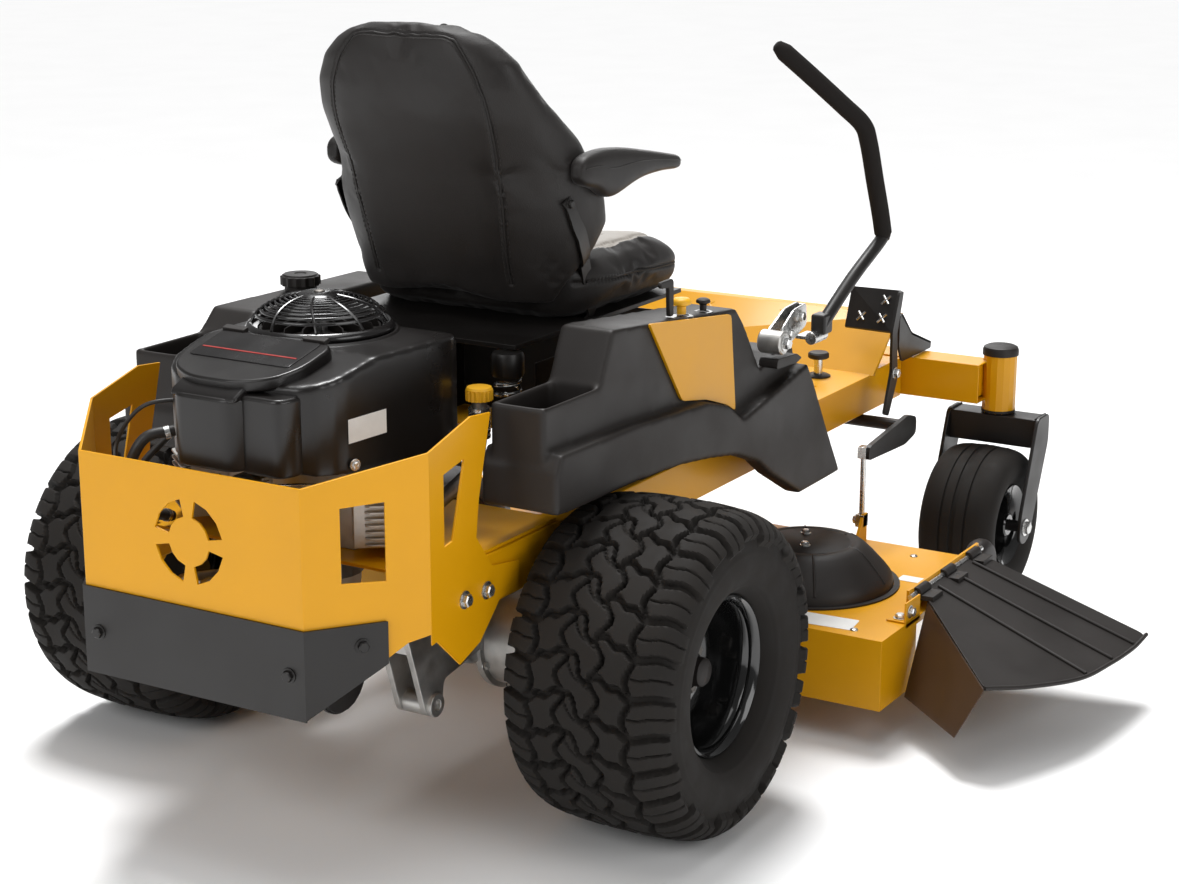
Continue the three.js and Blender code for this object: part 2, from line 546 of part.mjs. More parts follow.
function switches() {
  // The right console's lid falls gently towards the front; each control stands just above it.
  const row = -398;
  const lid = (x) => 828 - (42 * (x - 12)) / 435;
  const knob = (name, x, radius, height, material) => add(name,
    turned([[0, 0], [radius * 0.5, 0], [radius * 0.5, height * 0.5], [radius, height * 0.6], [radius * 0.9, height],
      [0, height]], 14), material, x, row, lid(x - radius) + 1);
  knob('pto_knob', 278, 17, 28, KNOB_YELLOW);
  knob('choke_knob', 357, 13, 22, BLACK_PLASTIC);
  const lever = [[-7, 0], [7, 0], [6, 64], [-34, 64], [-34, 54], [-6, 52]];
  add('throttle_lever', prism('y', lever, -4, 4), BLACK_PLASTIC, 237, row, lid(230) + 4);
  add('height_knob', turned([[0, 0], [9, 0], [9, 38], [22, 40], [22, 50], [0, 52]], 14), BLACK_PLASTIC,
    1126, -262, RAIL.top + 6);
}

mower.name = 'zero_turn_mower';
frame();
footArea();
engineGuard();
fenders();
engine();
airCleanerCover();
engineRotation();
engineExtras();
driveWheels();
casters();
transaxles();
deck();
dischargeChute();
antiScalpRollers();
deckLift();
seat();
steering();
switches();

// The finished origin is the centre of the footprint, on the ground.
const bounds = new THREE.Box3().setFromObject(mower);
mower.position.set(-(bounds.min.x + bounds.max.x) / 2, -(bounds.min.y + bounds.max.y) / 2, -bounds.min.z);

export default mower;
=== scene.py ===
"""Looks of a zero turn mower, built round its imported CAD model."""
import math

import bmesh
import bpy
import numpy as np
from mathutils import Matrix, Vector
from mathutils.kdtree import KDTree


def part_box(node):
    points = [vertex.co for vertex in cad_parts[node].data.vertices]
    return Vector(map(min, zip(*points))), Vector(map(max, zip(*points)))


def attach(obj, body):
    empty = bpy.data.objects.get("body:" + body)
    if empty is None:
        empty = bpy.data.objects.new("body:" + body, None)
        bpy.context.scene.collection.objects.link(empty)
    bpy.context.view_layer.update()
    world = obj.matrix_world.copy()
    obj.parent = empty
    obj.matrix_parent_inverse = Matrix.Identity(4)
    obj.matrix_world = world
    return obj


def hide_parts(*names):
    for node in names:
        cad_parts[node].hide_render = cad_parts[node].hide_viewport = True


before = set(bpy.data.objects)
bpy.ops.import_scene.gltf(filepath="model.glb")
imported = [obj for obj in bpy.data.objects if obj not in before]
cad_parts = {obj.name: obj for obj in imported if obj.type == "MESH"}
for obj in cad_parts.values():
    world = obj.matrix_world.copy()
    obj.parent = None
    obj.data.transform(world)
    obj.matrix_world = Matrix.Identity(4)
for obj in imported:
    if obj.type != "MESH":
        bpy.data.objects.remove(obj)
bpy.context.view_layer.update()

# Shapes below are written in millimetres from the middle of the rear axle at ground level:
# x forward, y to the left, z up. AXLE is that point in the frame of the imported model.
MM = 0.001


def node_centre(node):
    low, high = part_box(node)
    return (low + high) / 2


AXLE = (node_centre("rear_tyre_left") + node_centre("rear_tyre_right")) / 2
AXLE.z = 0.0
LEFT_AND_RIGHT = (("left", 1), ("right", -1))


def place(point):
    return Vector(point) * MM + AXLE


# ---------- camera and light ----------

CAMERA_PLACE = (-3135.6, -2256.9, 1617.3)
CAMERA_YAW, CAMERA_PITCH = math.radians(30.9), math.radians(15.0)
CAMERA_LENS = 70.4


def make_camera():
    data = bpy.data.cameras.new("camera")
    camera = bpy.data.objects.new("camera", data)
    bpy.context.collection.objects.link(camera)
    level = math.cos(CAMERA_PITCH)
    ahead = Vector((level * math.cos(CAMERA_YAW), level * math.sin(CAMERA_YAW), -math.sin(CAMERA_PITCH)))
    camera.location = place(CAMERA_PLACE)
    camera.rotation_euler = ahead.to_track_quat("-Z", "Y").to_euler()
    data.sensor_fit = "HORIZONTAL"
    data.sensor_width = 36.0
    data.lens = CAMERA_LENS
    data.clip_end = 100.0
    bpy.context.scene.camera = camera


def area_light(name, location, target, size, power):
    data = bpy.data.lights.new(name, "AREA")
    data.shape = "RECTANGLE"
    data.size, data.size_y = size
    data.energy = power
    light = bpy.data.objects.new(name, data)
    light.location = location
    light.rotation_euler = (Vector(target) - Vector(location)).to_track_quat("-Z", "Y").to_euler()
    bpy.context.collection.objects.link(light)


WORLD_LIGHT, BACKDROP_LEVEL = 0.19, 1.0
SUN_POWER, SUN_ANGLE, SUN_FROM = 2.95, math.radians(20), Vector((0.32, 0.24, 1.0))


def make_studio():
    world = bpy.data.worlds.new("studio")
    bpy.context.scene.world = world
    world.use_nodes = True
    background = world.node_tree.nodes["Background"]
    background.inputs["Color"].default_value = (1.0, 1.0, 1.0, 1.0)
    # The backdrop is a bright white sweep, while the light it sends onto the machine stays soft and low.
    path = world.node_tree.nodes.new("ShaderNodeLightPath")
    level = world.node_tree.nodes.new("ShaderNodeMapRange")
    level.inputs["To Min"].default_value = WORLD_LIGHT
    level.inputs["To Max"].default_value = BACKDROP_LEVEL
    world.node_tree.links.new(path.outputs["Is Camera Ray"], level.inputs["Value"])
    world.node_tree.links.new(level.outputs["Result"], background.inputs["Strength"])
    target = (-0.1, 0.0, 0.5)
    area_light("top_softbox", (-0.2, 0.3, 4.2), target, (4.5, 3.5), 75)
    area_light("right_softbox", (-1.2, -4.6, 2.4), target, (3.2, 2.6), 70)
    area_light("rear_softbox", (-4.8, 1.0, 2.8), target, (3.0, 2.4), 75)
    area_light("front_softbox", (4.2, 2.2, 2.6), target, (3.0, 2.4), 60)
    key = bpy.data.lights.new("overhead_key", "SUN")
    key.energy = SUN_POWER
    key.angle = SUN_ANGLE
    lamp = bpy.data.objects.new("overhead_key", key)
    lamp.rotation_euler = SUN_FROM.to_track_quat("Z", "Y").to_euler()
    bpy.context.collection.objects.link(lamp)
    bpy.context.scene.view_settings.view_transform = "Standard"


def make_floor():
    mesh = bpy.data.meshes.new("floor")
    half = 30.0
    mesh.from_pydata([(-half, -half, 0), (half, -half, 0), (half, half, 0), (-half, half, 0)], [],
                     [(0, 1, 2, 3)])
    floor = bpy.data.objects.new("floor", mesh)
    floor.location.z = -0.001
    bpy.context.collection.objects.link(floor)
    mesh.materials.append(surface("floor_white", (0.92, 0.92, 0.92), 0.8, tone=0.01, tone_size=400))


# ---------- materials ----------

# The record's material slot that each surface takes its finish from.
SLOT_OF = {
    "yellow_powder_coat": "yellow_paint", "black_powder_coat": "black_paint",
    "grained_black_plastic": "black_plastic", "smooth_black_plastic": "shroud_plastic",
    "glossy_black_plastic": "shroud_plastic", "tyre_rubber": "tyre_rubber",
    "hose_rubber": "black_plastic", "gloss_black_enamel": "rim_paint",
    "black_seat_vinyl": "seat_vinyl", "grey_seat_vinyl": "seat_vinyl",
    "foam_grip": "black_plastic", "seam_thread": "seat_vinyl",
    "cast_aluminium": "cast_aluminium", "zinc_plate": "zinc",
    "spring_steel": "zinc", "oiled_steel": "steel",
    "yellow_plastic": "knob_yellow", "blank_label": "black_plastic",
    "smoked_inner_plastic": "black_plastic", "red_trim": "shroud_plastic",
    "floor_white": "none",
}


def surface(name, colour, roughness, *, metallic=0.0, tone=0.08, tone_size=60.0, rough_spread=0.08,
            grain="noise", grain_size=1.0, grain_height=0.0, coat=0.0, coat_roughness=0.1, sheen=0.0,
            specular=0.5, streak=(1.0, 1.0, 1.0)):
    """A procedural surface: a base colour that drifts in tone, uneven gloss, and a fine grain in relief.

    Sizes are in millimetres. streak stretches the drift along x, y and z, as brushing or casting does."""
    material = bpy.data.materials.new(name)
    material["slot"] = SLOT_OF[name]
    material.use_nodes = True
    nodes, links = material.node_tree.nodes, material.node_tree.links
    shader = nodes["Principled BSDF"]
    coordinates = nodes.new("ShaderNodeTexCoord")
    stretch = nodes.new("ShaderNodeMapping")
    stretch.inputs["Scale"].default_value = streak
    links.new(coordinates.outputs["Object"], stretch.inputs["Vector"])

    drift = nodes.new("ShaderNodeTexNoise")
    drift.inputs["Scale"].default_value = 1000.0 / tone_size
    drift.inputs["Detail"].default_value = 5.0
    links.new(stretch.outputs["Vector"], drift.inputs["Vector"])
    ramp = nodes.new("ShaderNodeValToRGB")
    ramp.color_ramp.elements[0].position = 0.3
    ramp.color_ramp.elements[1].position = 0.7
    ramp.color_ramp.elements[0].color = (*[c * (1 - tone) for c in colour], 1.0)
    ramp.color_ramp.elements[1].color = (*[min(1.0, c * (1 + tone)) for c in colour], 1.0)
    links.new(drift.outputs["Fac"], ramp.inputs["Fac"])
    links.new(ramp.outputs["Color"], shader.inputs["Base Color"])

    gloss = nodes.new("ShaderNodeMapRange")
    gloss.inputs["From Min"].default_value = 0.3
    gloss.inputs["From Max"].default_value = 0.7
    gloss.inputs["To Min"].default_value = max(0.03, roughness - rough_spread)
    gloss.inputs["To Max"].default_value = min(1.0, roughness + rough_spread)
    links.new(drift.outputs["Fac"], gloss.inputs["Value"])
    links.new(gloss.outputs["Result"], shader.inputs["Roughness"])

    if grain_height:
        if grain == "cells":
            relief = nodes.new("ShaderNodeTexVoronoi")
            height = relief.outputs["Distance"]
        else:
            relief = nodes.new("ShaderNodeTexNoise")
            relief.inputs["Detail"].default_value = 3.0
            height = relief.outputs["Fac"]
        relief.inputs["Scale"].default_value = 1000.0 / grain_size
        links.new(coordinates.outputs["Object"], relief.inputs["Vector"])
        bump = nodes.new("ShaderNodeBump")
        bump.inputs["Strength"].default_value = 1.0
        bump.inputs["Distance"].default_value = grain_height * MM
        links.new(height, bump.inputs["Height"])
        links.new(bump.outputs["Normal"], shader.inputs["Normal"])

    shader.inputs["Metallic"].default_value = metallic
    shader.inputs["Coat Weight"].default_value = coat
    shader.inputs["Coat Roughness"].default_value = coat_roughness
    shader.inputs["Sheen Weight"].default_value = sheen
    shader.inputs["Specular IOR Level"].default_value = specular
    return material


YELLOW = surface("yellow_powder_coat", (0.68, 0.315, 0.0005), 0.38, tone=0.035, tone_size=180,
                 rough_spread=0.05,
                 grain_size=1.6, grain_height=0.035, coat=0.08, coat_roughness=0.18, specular=0.3)
BLACK_PAINT = surface("black_powder_coat", (0.0095, 0.008, 0.0073), 0.42, specular=0.35, tone=0.12,
                      tone_size=90,
                      grain_size=1.4, grain_height=0.04, coat=0.1, coat_roughness=0.3)
PLASTIC = surface("grained_black_plastic", (0.0140, 0.0112, 0.0098), 0.52, specular=0.35, tone=0.08,
                  tone_size=120,
                  grain="cells", grain_size=1.3, grain_height=0.07)
SHROUD = surface("smooth_black_plastic", (0.0085, 0.0072, 0.0067), 0.34, specular=0.4, tone=0.08,
                 tone_size=140,
                 grain_size=0.9, grain_height=0.02, coat=0.12, coat_roughness=0.2)
GRILLE = surface("glossy_black_plastic", (0.010, 0.009, 0.009), 0.22, tone=0.06, tone_size=80,
                 grain_size=0.8, grain_height=0.01, coat=0.3)
RUBBER = surface("tyre_rubber", (0.0135, 0.0115, 0.0100), 0.8, tone=0.22, tone_size=45, rough_spread=0.1,
                 grain_size=1.1, grain_height=0.10, specular=0.25)
HOSE = surface("hose_rubber", (0.015, 0.013, 0.012), 0.5, tone=0.15, tone_size=30, grain_size=0.8,
               grain_height=0.04)
RIM_PAINT = surface("gloss_black_enamel", (0.006, 0.006, 0.006), 0.13, tone=0.1, tone_size=90,
                    rough_spread=0.04,
                    grain_size=2.5, grain_height=0.02, coat=0.6, coat_roughness=0.05)
VINYL = surface("black_seat_vinyl", (0.0105, 0.0083, 0.0073), 0.5, specular=0.35, tone=0.14, tone_size=70,
                grain="cells",
                grain_size=2.2, grain_height=0.16, sheen=0.06)
GREY_VINYL = surface("grey_seat_vinyl", (0.30, 0.275, 0.245), 0.58, tone=0.06, tone_size=60, grain="cells",
                     grain_size=2.2, grain_height=0.16, sheen=0.05)
FOAM = surface("foam_grip", (0.012, 0.010, 0.009), 0.9, tone=0.2, tone_size=12, grain="cells", grain_size=0.9,
               grain_height=0.16, specular=0.2)
THREAD = surface("seam_thread", (0.020, 0.017, 0.015), 0.7, tone=0.2, tone_size=3, grain_size=0.6,
                 grain_height=0.08)
ALUMINIUM = surface("cast_aluminium", (0.50, 0.49, 0.47), 0.42, metallic=0.9, tone=0.15, tone_size=25,
                    grain_size=1.2, grain_height=0.10)
ZINC = surface("zinc_plate", (0.62, 0.62, 0.61), 0.27, metallic=0.95, tone=0.10, tone_size=12,
               grain_size=0.7, grain_height=0.02)
CHROME = surface("spring_steel", (0.55, 0.55, 0.54), 0.2, metallic=1.0, tone=0.08, tone_size=10,
                 grain_size=0.6, grain_height=0.01)
STEEL = surface("oiled_steel", (0.20, 0.185, 0.17), 0.45, metallic=0.8, tone=0.25, tone_size=30,
                grain_size=1.0, grain_height=0.06, streak=(1.0, 1.0, 0.3))
YELLOW_PLASTIC = surface("yellow_plastic", (0.78, 0.40, 0.008), 0.45, tone=0.05, tone_size=30, grain="cells",
                         grain_size=0.9, grain_height=0.03)
WHITE_PLASTIC = surface("blank_label", (0.80, 0.80, 0.78), 0.5, tone=0.03, tone_size=20, grain_size=0.5,
                        grain_height=0.01)
RED_LINE = surface("red_trim", (0.35, 0.012, 0.008), 0.4, tone=0.1, tone_size=20, grain_size=0.6,
                   grain_height=0.01)
SMOKED = surface("smoked_inner_plastic", (0.055, 0.030, 0.018), 0.4, tone=0.12, tone_size=90, grain_size=1.2,
                 grain_height=0.05)


# ---------- shape helpers: a shape is (points, faces) in millimetres ----------

def merge(*shapes):
    points, faces = [], []
    for shape_points, shape_faces in shapes:
        start = len(points)
        points.extend(map(tuple, shape_points))
        faces.extend(tuple(start + i for i in face) for face in shape_faces)
    return points, faces


def moved(shape, offset=(0, 0, 0), turn=None):
    matrix = turn or Matrix.Identity(3)
    return [tuple(matrix @ Vector(p) + Vector(offset)) for p in shape[0]], shape[1]


def other_side(shape):
    return [(x, -y, z) for x, y, z in shape[0]], [tuple(reversed(f)) for f in shape[1]]


def on_side(shape, side):
    return shape if side > 0 else other_side(shape)


# The six faces of a slab given as four corners and the same four on its other side.
SLAB_FACES = [(0, 1, 2, 3), (7, 6, 5, 4), (0, 4, 5, 1), (1, 5, 6, 2), (2, 6, 7, 3), (3, 7, 4, 0)]

AXIS_TURN = {
    "x": Matrix(((0, 0, 1), (1, 0, 0), (0, 1, 0))),
    "y": Matrix(((1, 0, 0), (0, 0, -1), (0, 1, 0))),
    "z": Matrix.Identity(3),
}


def lathe(profile, centre=(0, 0, 0), axis="z", sides=48):
    """A body of revolution from (radius, height) points; on the y axis, heights run to the right."""
    points, faces = [], []
    count = len(profile)
    for i in range(sides):
        angle = 2 * math.pi * i / sides
        for radius, height in profile:
            points.append((radius * math.cos(angle), radius * math.sin(angle), height))
    for i in range(sides):
        ahead = (i + 1) % sides
        for j in range(count - 1):
            faces.append((i * count + j, ahead * count + j, ahead * count + j + 1, i * count + j + 1))
    return moved((points, faces), centre, AXIS_TURN[axis])


def cylinder(radius, low, high, centre=(0, 0, 0), axis="z", sides=48):
    return lathe([(0, low), (radius, low), (radius, high), (0, high)], centre, axis, sides)


def tube(inner, outer, low, high, centre=(0, 0, 0), axis="z", sides=48):
    profile = [(inner, low), (outer, low), (outer, high), (inner, high), (inner, low)]
    return lathe(profile, centre, axis, sides)


def spread(count, start=0.0):
    """Evenly spaced angles round a circle."""
    return [2 * math.pi * k / count + start for k in range(count)]


def prism(outline, axis, low, high):
    """An outline, [x, z] on the y axis or [x, y] on the z axis, carried along that axis."""
    count = len(outline)
    ends = [(a, b, c) for c in (low, high) for a, b in outline]
    points = [(a, c, b) for a, b, c in ends] if axis == "y" else ends
    faces = [tuple(range(count)), tuple(reversed(range(count, 2 * count)))]
    faces += [(i, (i + 1) % count, count + (i + 1) % count, count + i) for i in range(count)]
    return points, faces


def knurled(centre, outer, inner, count):
    """A round outline with shallow flutes."""
    ring = []
    for angle in spread(count):
        half_step = angle + math.pi / count
        ring.append((centre[0] + outer * math.cos(angle), centre[1] + outer * math.sin(angle)))
        ring.append((centre[0] + inner * math.cos(half_step), centre[1] + inner * math.sin(half_step)))
    return ring


def block(x0, x1, y0, y1, z0, z1):
    return prism([(x0, y0), (x1, y0), (x1, y1), (x0, y1)], "z", z0, z1)


def rounded(points, radius, steps=4):
    result = []
    for i, point in enumerate(points):
        corner = Vector(point)
        before, after = Vector(points[i - 1]) - corner, Vector(points[(i + 1) % len(points)]) - corner
        reach = min(radius, before.length * 0.45, after.length * 0.45)
        start, end = corner + before.normalized() * reach, corner + after.normalized() * reach
        for k in range(steps + 1):
            t = k / steps
            result.append(tuple(start * (1 - t) ** 2 + corner * 2 * t * (1 - t) + end * t * t))
    return result


def smooth_route(points, steps=8):
    """Points on a Catmull-Rom curve through the given points."""
    known = [Vector(p) for p in points]
    count = len(known)
    result = []
    for i in range(count - 1):
        b, c = known[i], known[i + 1]
        a = known[i - 1] if i else b * 2 - c
        d = known[i + 2] if i + 2 < count else c * 2 - b
        for k in range(steps):
            t = k / steps
            result.append(0.5 * (2 * b + (c - a) * t + (2 * a - 5 * b + 4 * c - d) * t * t
                                 + (3 * b - a - 3 * c + d) * t ** 3))
    result.append(known[-1])
    return result


def sweep(route, radius, sides=14):
    """A round bar along a route; radius is a number or one number per route point."""
    route = [Vector(p) for p in route]
    count = len(route)
    radii = radius if hasattr(radius, "__len__") else [radius] * count
    points, faces = [], []
    normal = None
    for i, centre in enumerate(route):
        tangent = route[min(i + 1, count - 1)] - route[max(i - 1, 0)]
        tangent.normalize()
        if normal is None:
            normal = tangent.orthogonal()
        normal = (normal - tangent * normal.dot(tangent)).normalized()
        across = tangent.cross(normal)
        for k in range(sides):
            angle = 2 * math.pi * k / sides
            points.append(tuple(centre + (normal * math.cos(angle) + across * math.sin(angle)) * radii[i]))
    for i in range(count - 1):
        for k in range(sides):
            nxt = (k + 1) % sides
            faces.append((i * sides + k, (i + 1) * sides + k, (i + 1) * sides + nxt, i * sides + nxt))
    faces.append(tuple(range(sides)))
    faces.append(tuple(reversed(range((count - 1) * sides, count * sides))))
    return points, faces


def turn_to(direction):
    """The rotation that carries +Z to a direction."""
    return Vector(direction).to_track_quat("Z", "Y").to_matrix()


WASHER = 2.0


def bolt(at, direction=(0, 0, 1), across=16, height=7):
    """A hex head with a chamfered top on a round washer, standing on a surface at a point."""
    radius = across / math.sqrt(3)
    head = lathe([(0, WASHER), (radius, WASHER), (radius, height * 0.8 + WASHER),
                  (radius * 0.8, height + WASHER), (0, height + WASHER)], sides=6)
    washer = lathe([(0, 0), (radius * 1.35, 0), (radius * 1.35, 1.6), (radius * 1.2, WASHER), (0, WASHER)],
                   sides=24)
    return moved(merge(head, washer), at, turn_to(direction))


def dome_bolt(at, direction=(0, 0, 1), radius=9):
    """A carriage bolt's low round head."""
    arc = [(radius * math.cos(a), radius * 0.45 * math.sin(a)) for a in np.linspace(0, math.pi / 2, 6)]
    return moved(lathe([(0, -0.5), (radius, -0.5), *arc], sides=20), at, turn_to(direction))


# ---------- making pieces ----------

def add_bevel(piece, width, segments=3, angle=35):
    bevel = piece.modifiers.new("rounded_edges", "BEVEL")
    bevel.width = width * MM
    bevel.segments = segments
    bevel.limit_method = "ANGLE"
    bevel.angle_limit = math.radians(angle)
    bevel.harden_normals = True


def new_piece(name, shape, material, body, replaced=(), bevel=0.0, crease_angle=40):
    mesh = bpy.data.meshes.new(name)
    mesh.from_pydata([tuple(place(p)) for p in shape[0]], [], shape[1])
    work = bmesh.new()
    work.from_mesh(mesh)
    bmesh.ops.remove_doubles(work, verts=work.verts, dist=0.01 * MM)
    bmesh.ops.recalc_face_normals(work, faces=work.faces)
    work.to_mesh(mesh)
    work.free()
    mesh.polygons.foreach_set("use_smooth", [True] * len(mesh.polygons))
    mesh.set_sharp_from_angle(angle=math.radians(crease_angle))
    piece = bpy.data.objects.new(name, mesh)
    bpy.context.collection.objects.link(piece)
    mesh.materials.append(material)
    if bevel:
        add_bevel(piece, bevel)
    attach(piece, body)
    if replaced:
        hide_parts(*replaced)
    return piece


def mould(node, material, voxel, rounds):
    """Rounds every inner and outer corner of a CAD piece, as a moulding has them."""
    piece = dress(node, material, bevel=0)
    remesh = piece.modifiers.new("even_mesh", "REMESH")
    remesh.mode = "VOXEL"
    remesh.voxel_size = voxel * MM
    remesh.use_smooth_shade = True
    soften = piece.modifiers.new("moulded_corners", "SMOOTH")
    soften.factor = 0.5
    soften.iterations = rounds


def dress(node, material, bevel=1.5, segments=2, angle=30):
    """Gives a CAD node that stays its material and softened edges."""
    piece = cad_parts[node]
    piece.data.materials.clear()
    piece.data.materials.append(material)
    weld = piece.modifiers.new("weld", "WELD")
    weld.merge_threshold = 0.01 * MM
    if bevel:
        add_bevel(piece, bevel, segments, angle)
    return piece


# ---------- wheels ----------

DRIVE = {"radius": 278.0, "half_width": 155.0, "y": 518.0, "depth": 13.0, "pitches": 27}
CASTER = {"radius": 165.0, "half_width": 83.0, "x": 1388.0, "y": 530.0, "pivot_x": 1473.0}


# One repeat of the drive tyre's tread, along the circumference, and the mesh steps it is cut into.
PITCH_LENGTH = 64
STEPS_PER_PITCH = 26


def resampled(points, count):
    """The same line with evenly spaced points."""
    line = np.array([tuple(p) for p in points], float)
    lengths = np.concatenate([[0], np.cumsum(np.linalg.norm(np.diff(line, axis=0), axis=1))])
    stations = np.linspace(0, lengths[-1], count)
    return np.stack([np.interp(stations, lengths, line[:, k]) for k in range(line.shape[1])], axis=1)


def edge(distance, soft):
    """0 outside a block, 1 inside, over a short slope."""
    return np.clip(distance / soft + 0.5, 0, 1)


def tread(turns, across, radius):
    """Relief of the all-terrain tread, 0 to 1, over turns (in pitches) and the place across the section."""
    wave = np.sin(2 * np.pi * turns)

    def cross_cuts(phase, gap):
        distance = 0.5 - np.abs((phase % 1.0) - 0.5)
        return edge((distance - gap) * PITCH_LENGTH, 3.0)

    def sipe(phase):
        distance = np.abs((phase % 1.0) - 0.5)
        return 1 - 0.4 * edge((0.022 - distance) * PITCH_LENGTH, 1.6)

    side = np.where(across >= 0, 1.0, -1.0)
    shift = np.where(across >= 0, 0.0, 0.5)
    middle = 9 * wave
    centre = edge(27 - np.abs(across - middle), 3.5)
    lean = 0.35 * (across - middle) / 30
    centre = centre * cross_cuts(turns + lean + 0.1 * np.sin(across / 6), 0.075) * sipe(turns + lean + 0.3)
    away = np.abs(across)
    inner = side * middle + 34
    outer = 83 + 5 * np.sin(2 * np.pi * (turns + shift) + 1.0)
    row_phase = turns + shift + 0.32 - 0.30 * (away - 34) / 50 + 0.05 * np.sin(away / 5)
    row = edge(away - inner, 3.5) * edge(outer - away, 3.5)
    row = row * cross_cuts(row_phase, 0.085) * sipe(row_phase + 0.45)
    shoulder_phase = turns + shift + 0.05 * np.sin(away / 9)
    long_lug = (np.floor(shoulder_phase) % 2) * 9
    shoulder = edge(away - outer - 8, 3.5) * edge(radius - 224 - long_lug, 6.0)
    shoulder = shoulder * cross_cuts(shoulder_phase, 0.10) * sipe(shoulder_phase)
    return np.maximum(np.maximum(centre, row), shoulder)


def rear_tyre(side):
    """The carcass with its tread raised in relief along the normal."""
    half = [(123, 93), (128, 99), (134, 104), (138, 116), (150, 133), (168, 145), (190, 149.5), (212, 148.5),
            (232, 143), (246, 134), (255, 121), (260, 102), (263, 72), (265, 36), (265, 0)]
    smooth = smooth_route([(r, w, 0) for r, w in half], 6)
    section = [(p.x, p.y) for p in smooth] + [(p.x, -p.y) for p in reversed(smooth[:-1])]
    line = resampled(section, 171)
    tangent = np.gradient(line, axis=0)
    normal = np.stack([-tangent[:, 1], tangent[:, 0]], axis=1)
    normal /= np.linalg.norm(normal, axis=1)[:, None]
    normal *= np.where(normal[len(line) // 2, 0] < 0, -1.0, 1.0)
    steps = DRIVE["pitches"] * STEPS_PER_PITCH
    turns = np.arange(steps)[:, None] / steps * DRIVE["pitches"]
    height = tread(turns, line[None, :, 1], line[None, :, 0]) * DRIVE["depth"]
    side_rings = 0.8 * (np.abs(line[:, 0] - 156) < 2) + 0.8 * (np.abs(line[:, 0] - 208) < 1.6)
    height = height + side_rings[None, :]
    # Where the carcass already reaches its full width the shoulder lugs stand less proud.
    limit = (DRIVE["half_width"] - np.abs(line[:, 1])) / np.maximum(np.abs(normal[:, 1]), 0.25)
    crown = DRIVE["radius"] - line[:, 0]
    height = np.minimum(height, np.maximum(np.minimum(limit, crown), 0)[None, :])
    radius = line[None, :, 0] + normal[None, :, 0] * height
    across = line[None, :, 1] + normal[None, :, 1] * height
    inside = np.array([(126, -78), (170, -126), (235, -118), (252, 0), (235, 118), (170, 126), (126, 78)],
                      float)
    radius = np.concatenate([radius, np.repeat(inside[None, :, 0], steps, 0)], axis=1)
    across = np.concatenate([across, np.repeat(inside[None, :, 1], steps, 0)], axis=1)
    return ring_about_y(radius, across, (0.0, side * DRIVE["y"], DRIVE["radius"]))


def ring_about_y(radius, across, centre):
    """A closed ring about the y axis from a grid of radii and places across."""
    steps, count = radius.shape
    angle = (np.arange(steps) / steps * 2 * np.pi - np.pi / 2)[:, None]
    points = np.stack([centre[0] + radius * np.cos(angle), centre[1] + across,
                       centre[2] + radius * np.sin(angle)], 2)
    index = np.arange(steps * count).reshape(steps, count)
    ahead, beside = np.roll(index, -1, 0), np.roll(index, -1, 1)
    both = np.roll(ahead, -1, 1)
    faces = np.stack([index, ahead, both, beside], 2).reshape(-1, 4)
    return points.reshape(-1, 3).tolist(), faces.tolist()


def front_tyre(side):
    """A smooth round tyre with fine ribs round the crown."""
    outside = [(73, 53), (79, 58), (84, 64), (96, 73), (112, 80), (128, 82.5), (140, 81), (149, 76),
               (156, 67), (160.5, 56), (162.5, 44)]
    rows = [(163.2, 40), (163.4, 30), (160, 28.5), (160, 25.5), (163.8, 24), (164.6, 6), (161, 4.5), (161, 0)]
    half = [(p.x, p.y) for p in smooth_route([(r, w, 0) for r, w in outside], 4)] + rows
    inside = [(140, 0), (135, 60), (100, 62), (76, 44)]
    loop = half + [(r, -w) for r, w in reversed(half[:-1])]
    loop += [(r, -w) for r, w in reversed(inside[1:])] + inside
    radius = np.repeat(np.array([p[0] for p in loop])[None, :], 144, 0)
    across = np.repeat(np.array([p[1] for p in loop])[None, :], 144, 0)
    # The crown rib just touches the ground.
    radius = np.where(radius > 164.5, CASTER["radius"], radius)
    return ring_about_y(radius, across, (CASTER["x"], side * CASTER["y"], CASTER["radius"]))


def rear_rim():
    """Deep dish rim; heights run to the right, so the right wheel's dish takes them as they are."""
    profile = [(27, 62), (30, 60), (31, 40), (36, 34), (62, 30), (66, 24), (70, 18), (104, 17), (110, 22),
               (113, 34), (115, 80), (118, 96), (124, 103), (130, 106), (133, 111), (134.5, 115),
               (131, 116.5), (128, 114), (122, 108), (121.3, 100), (121.3, -100), (122, -108), (128, -114),
               (131, -116.5), (134.5, -115), (130, -106), (118, -96), (112, -80), (111, 2), (106, 6),
               (66, 8), (40, -6), (40, -30), (22, -34), (20, -60), (0, -60), (0, 64), (22, 64), (27, 62)]
    return lathe(profile, axis="y", sides=96)


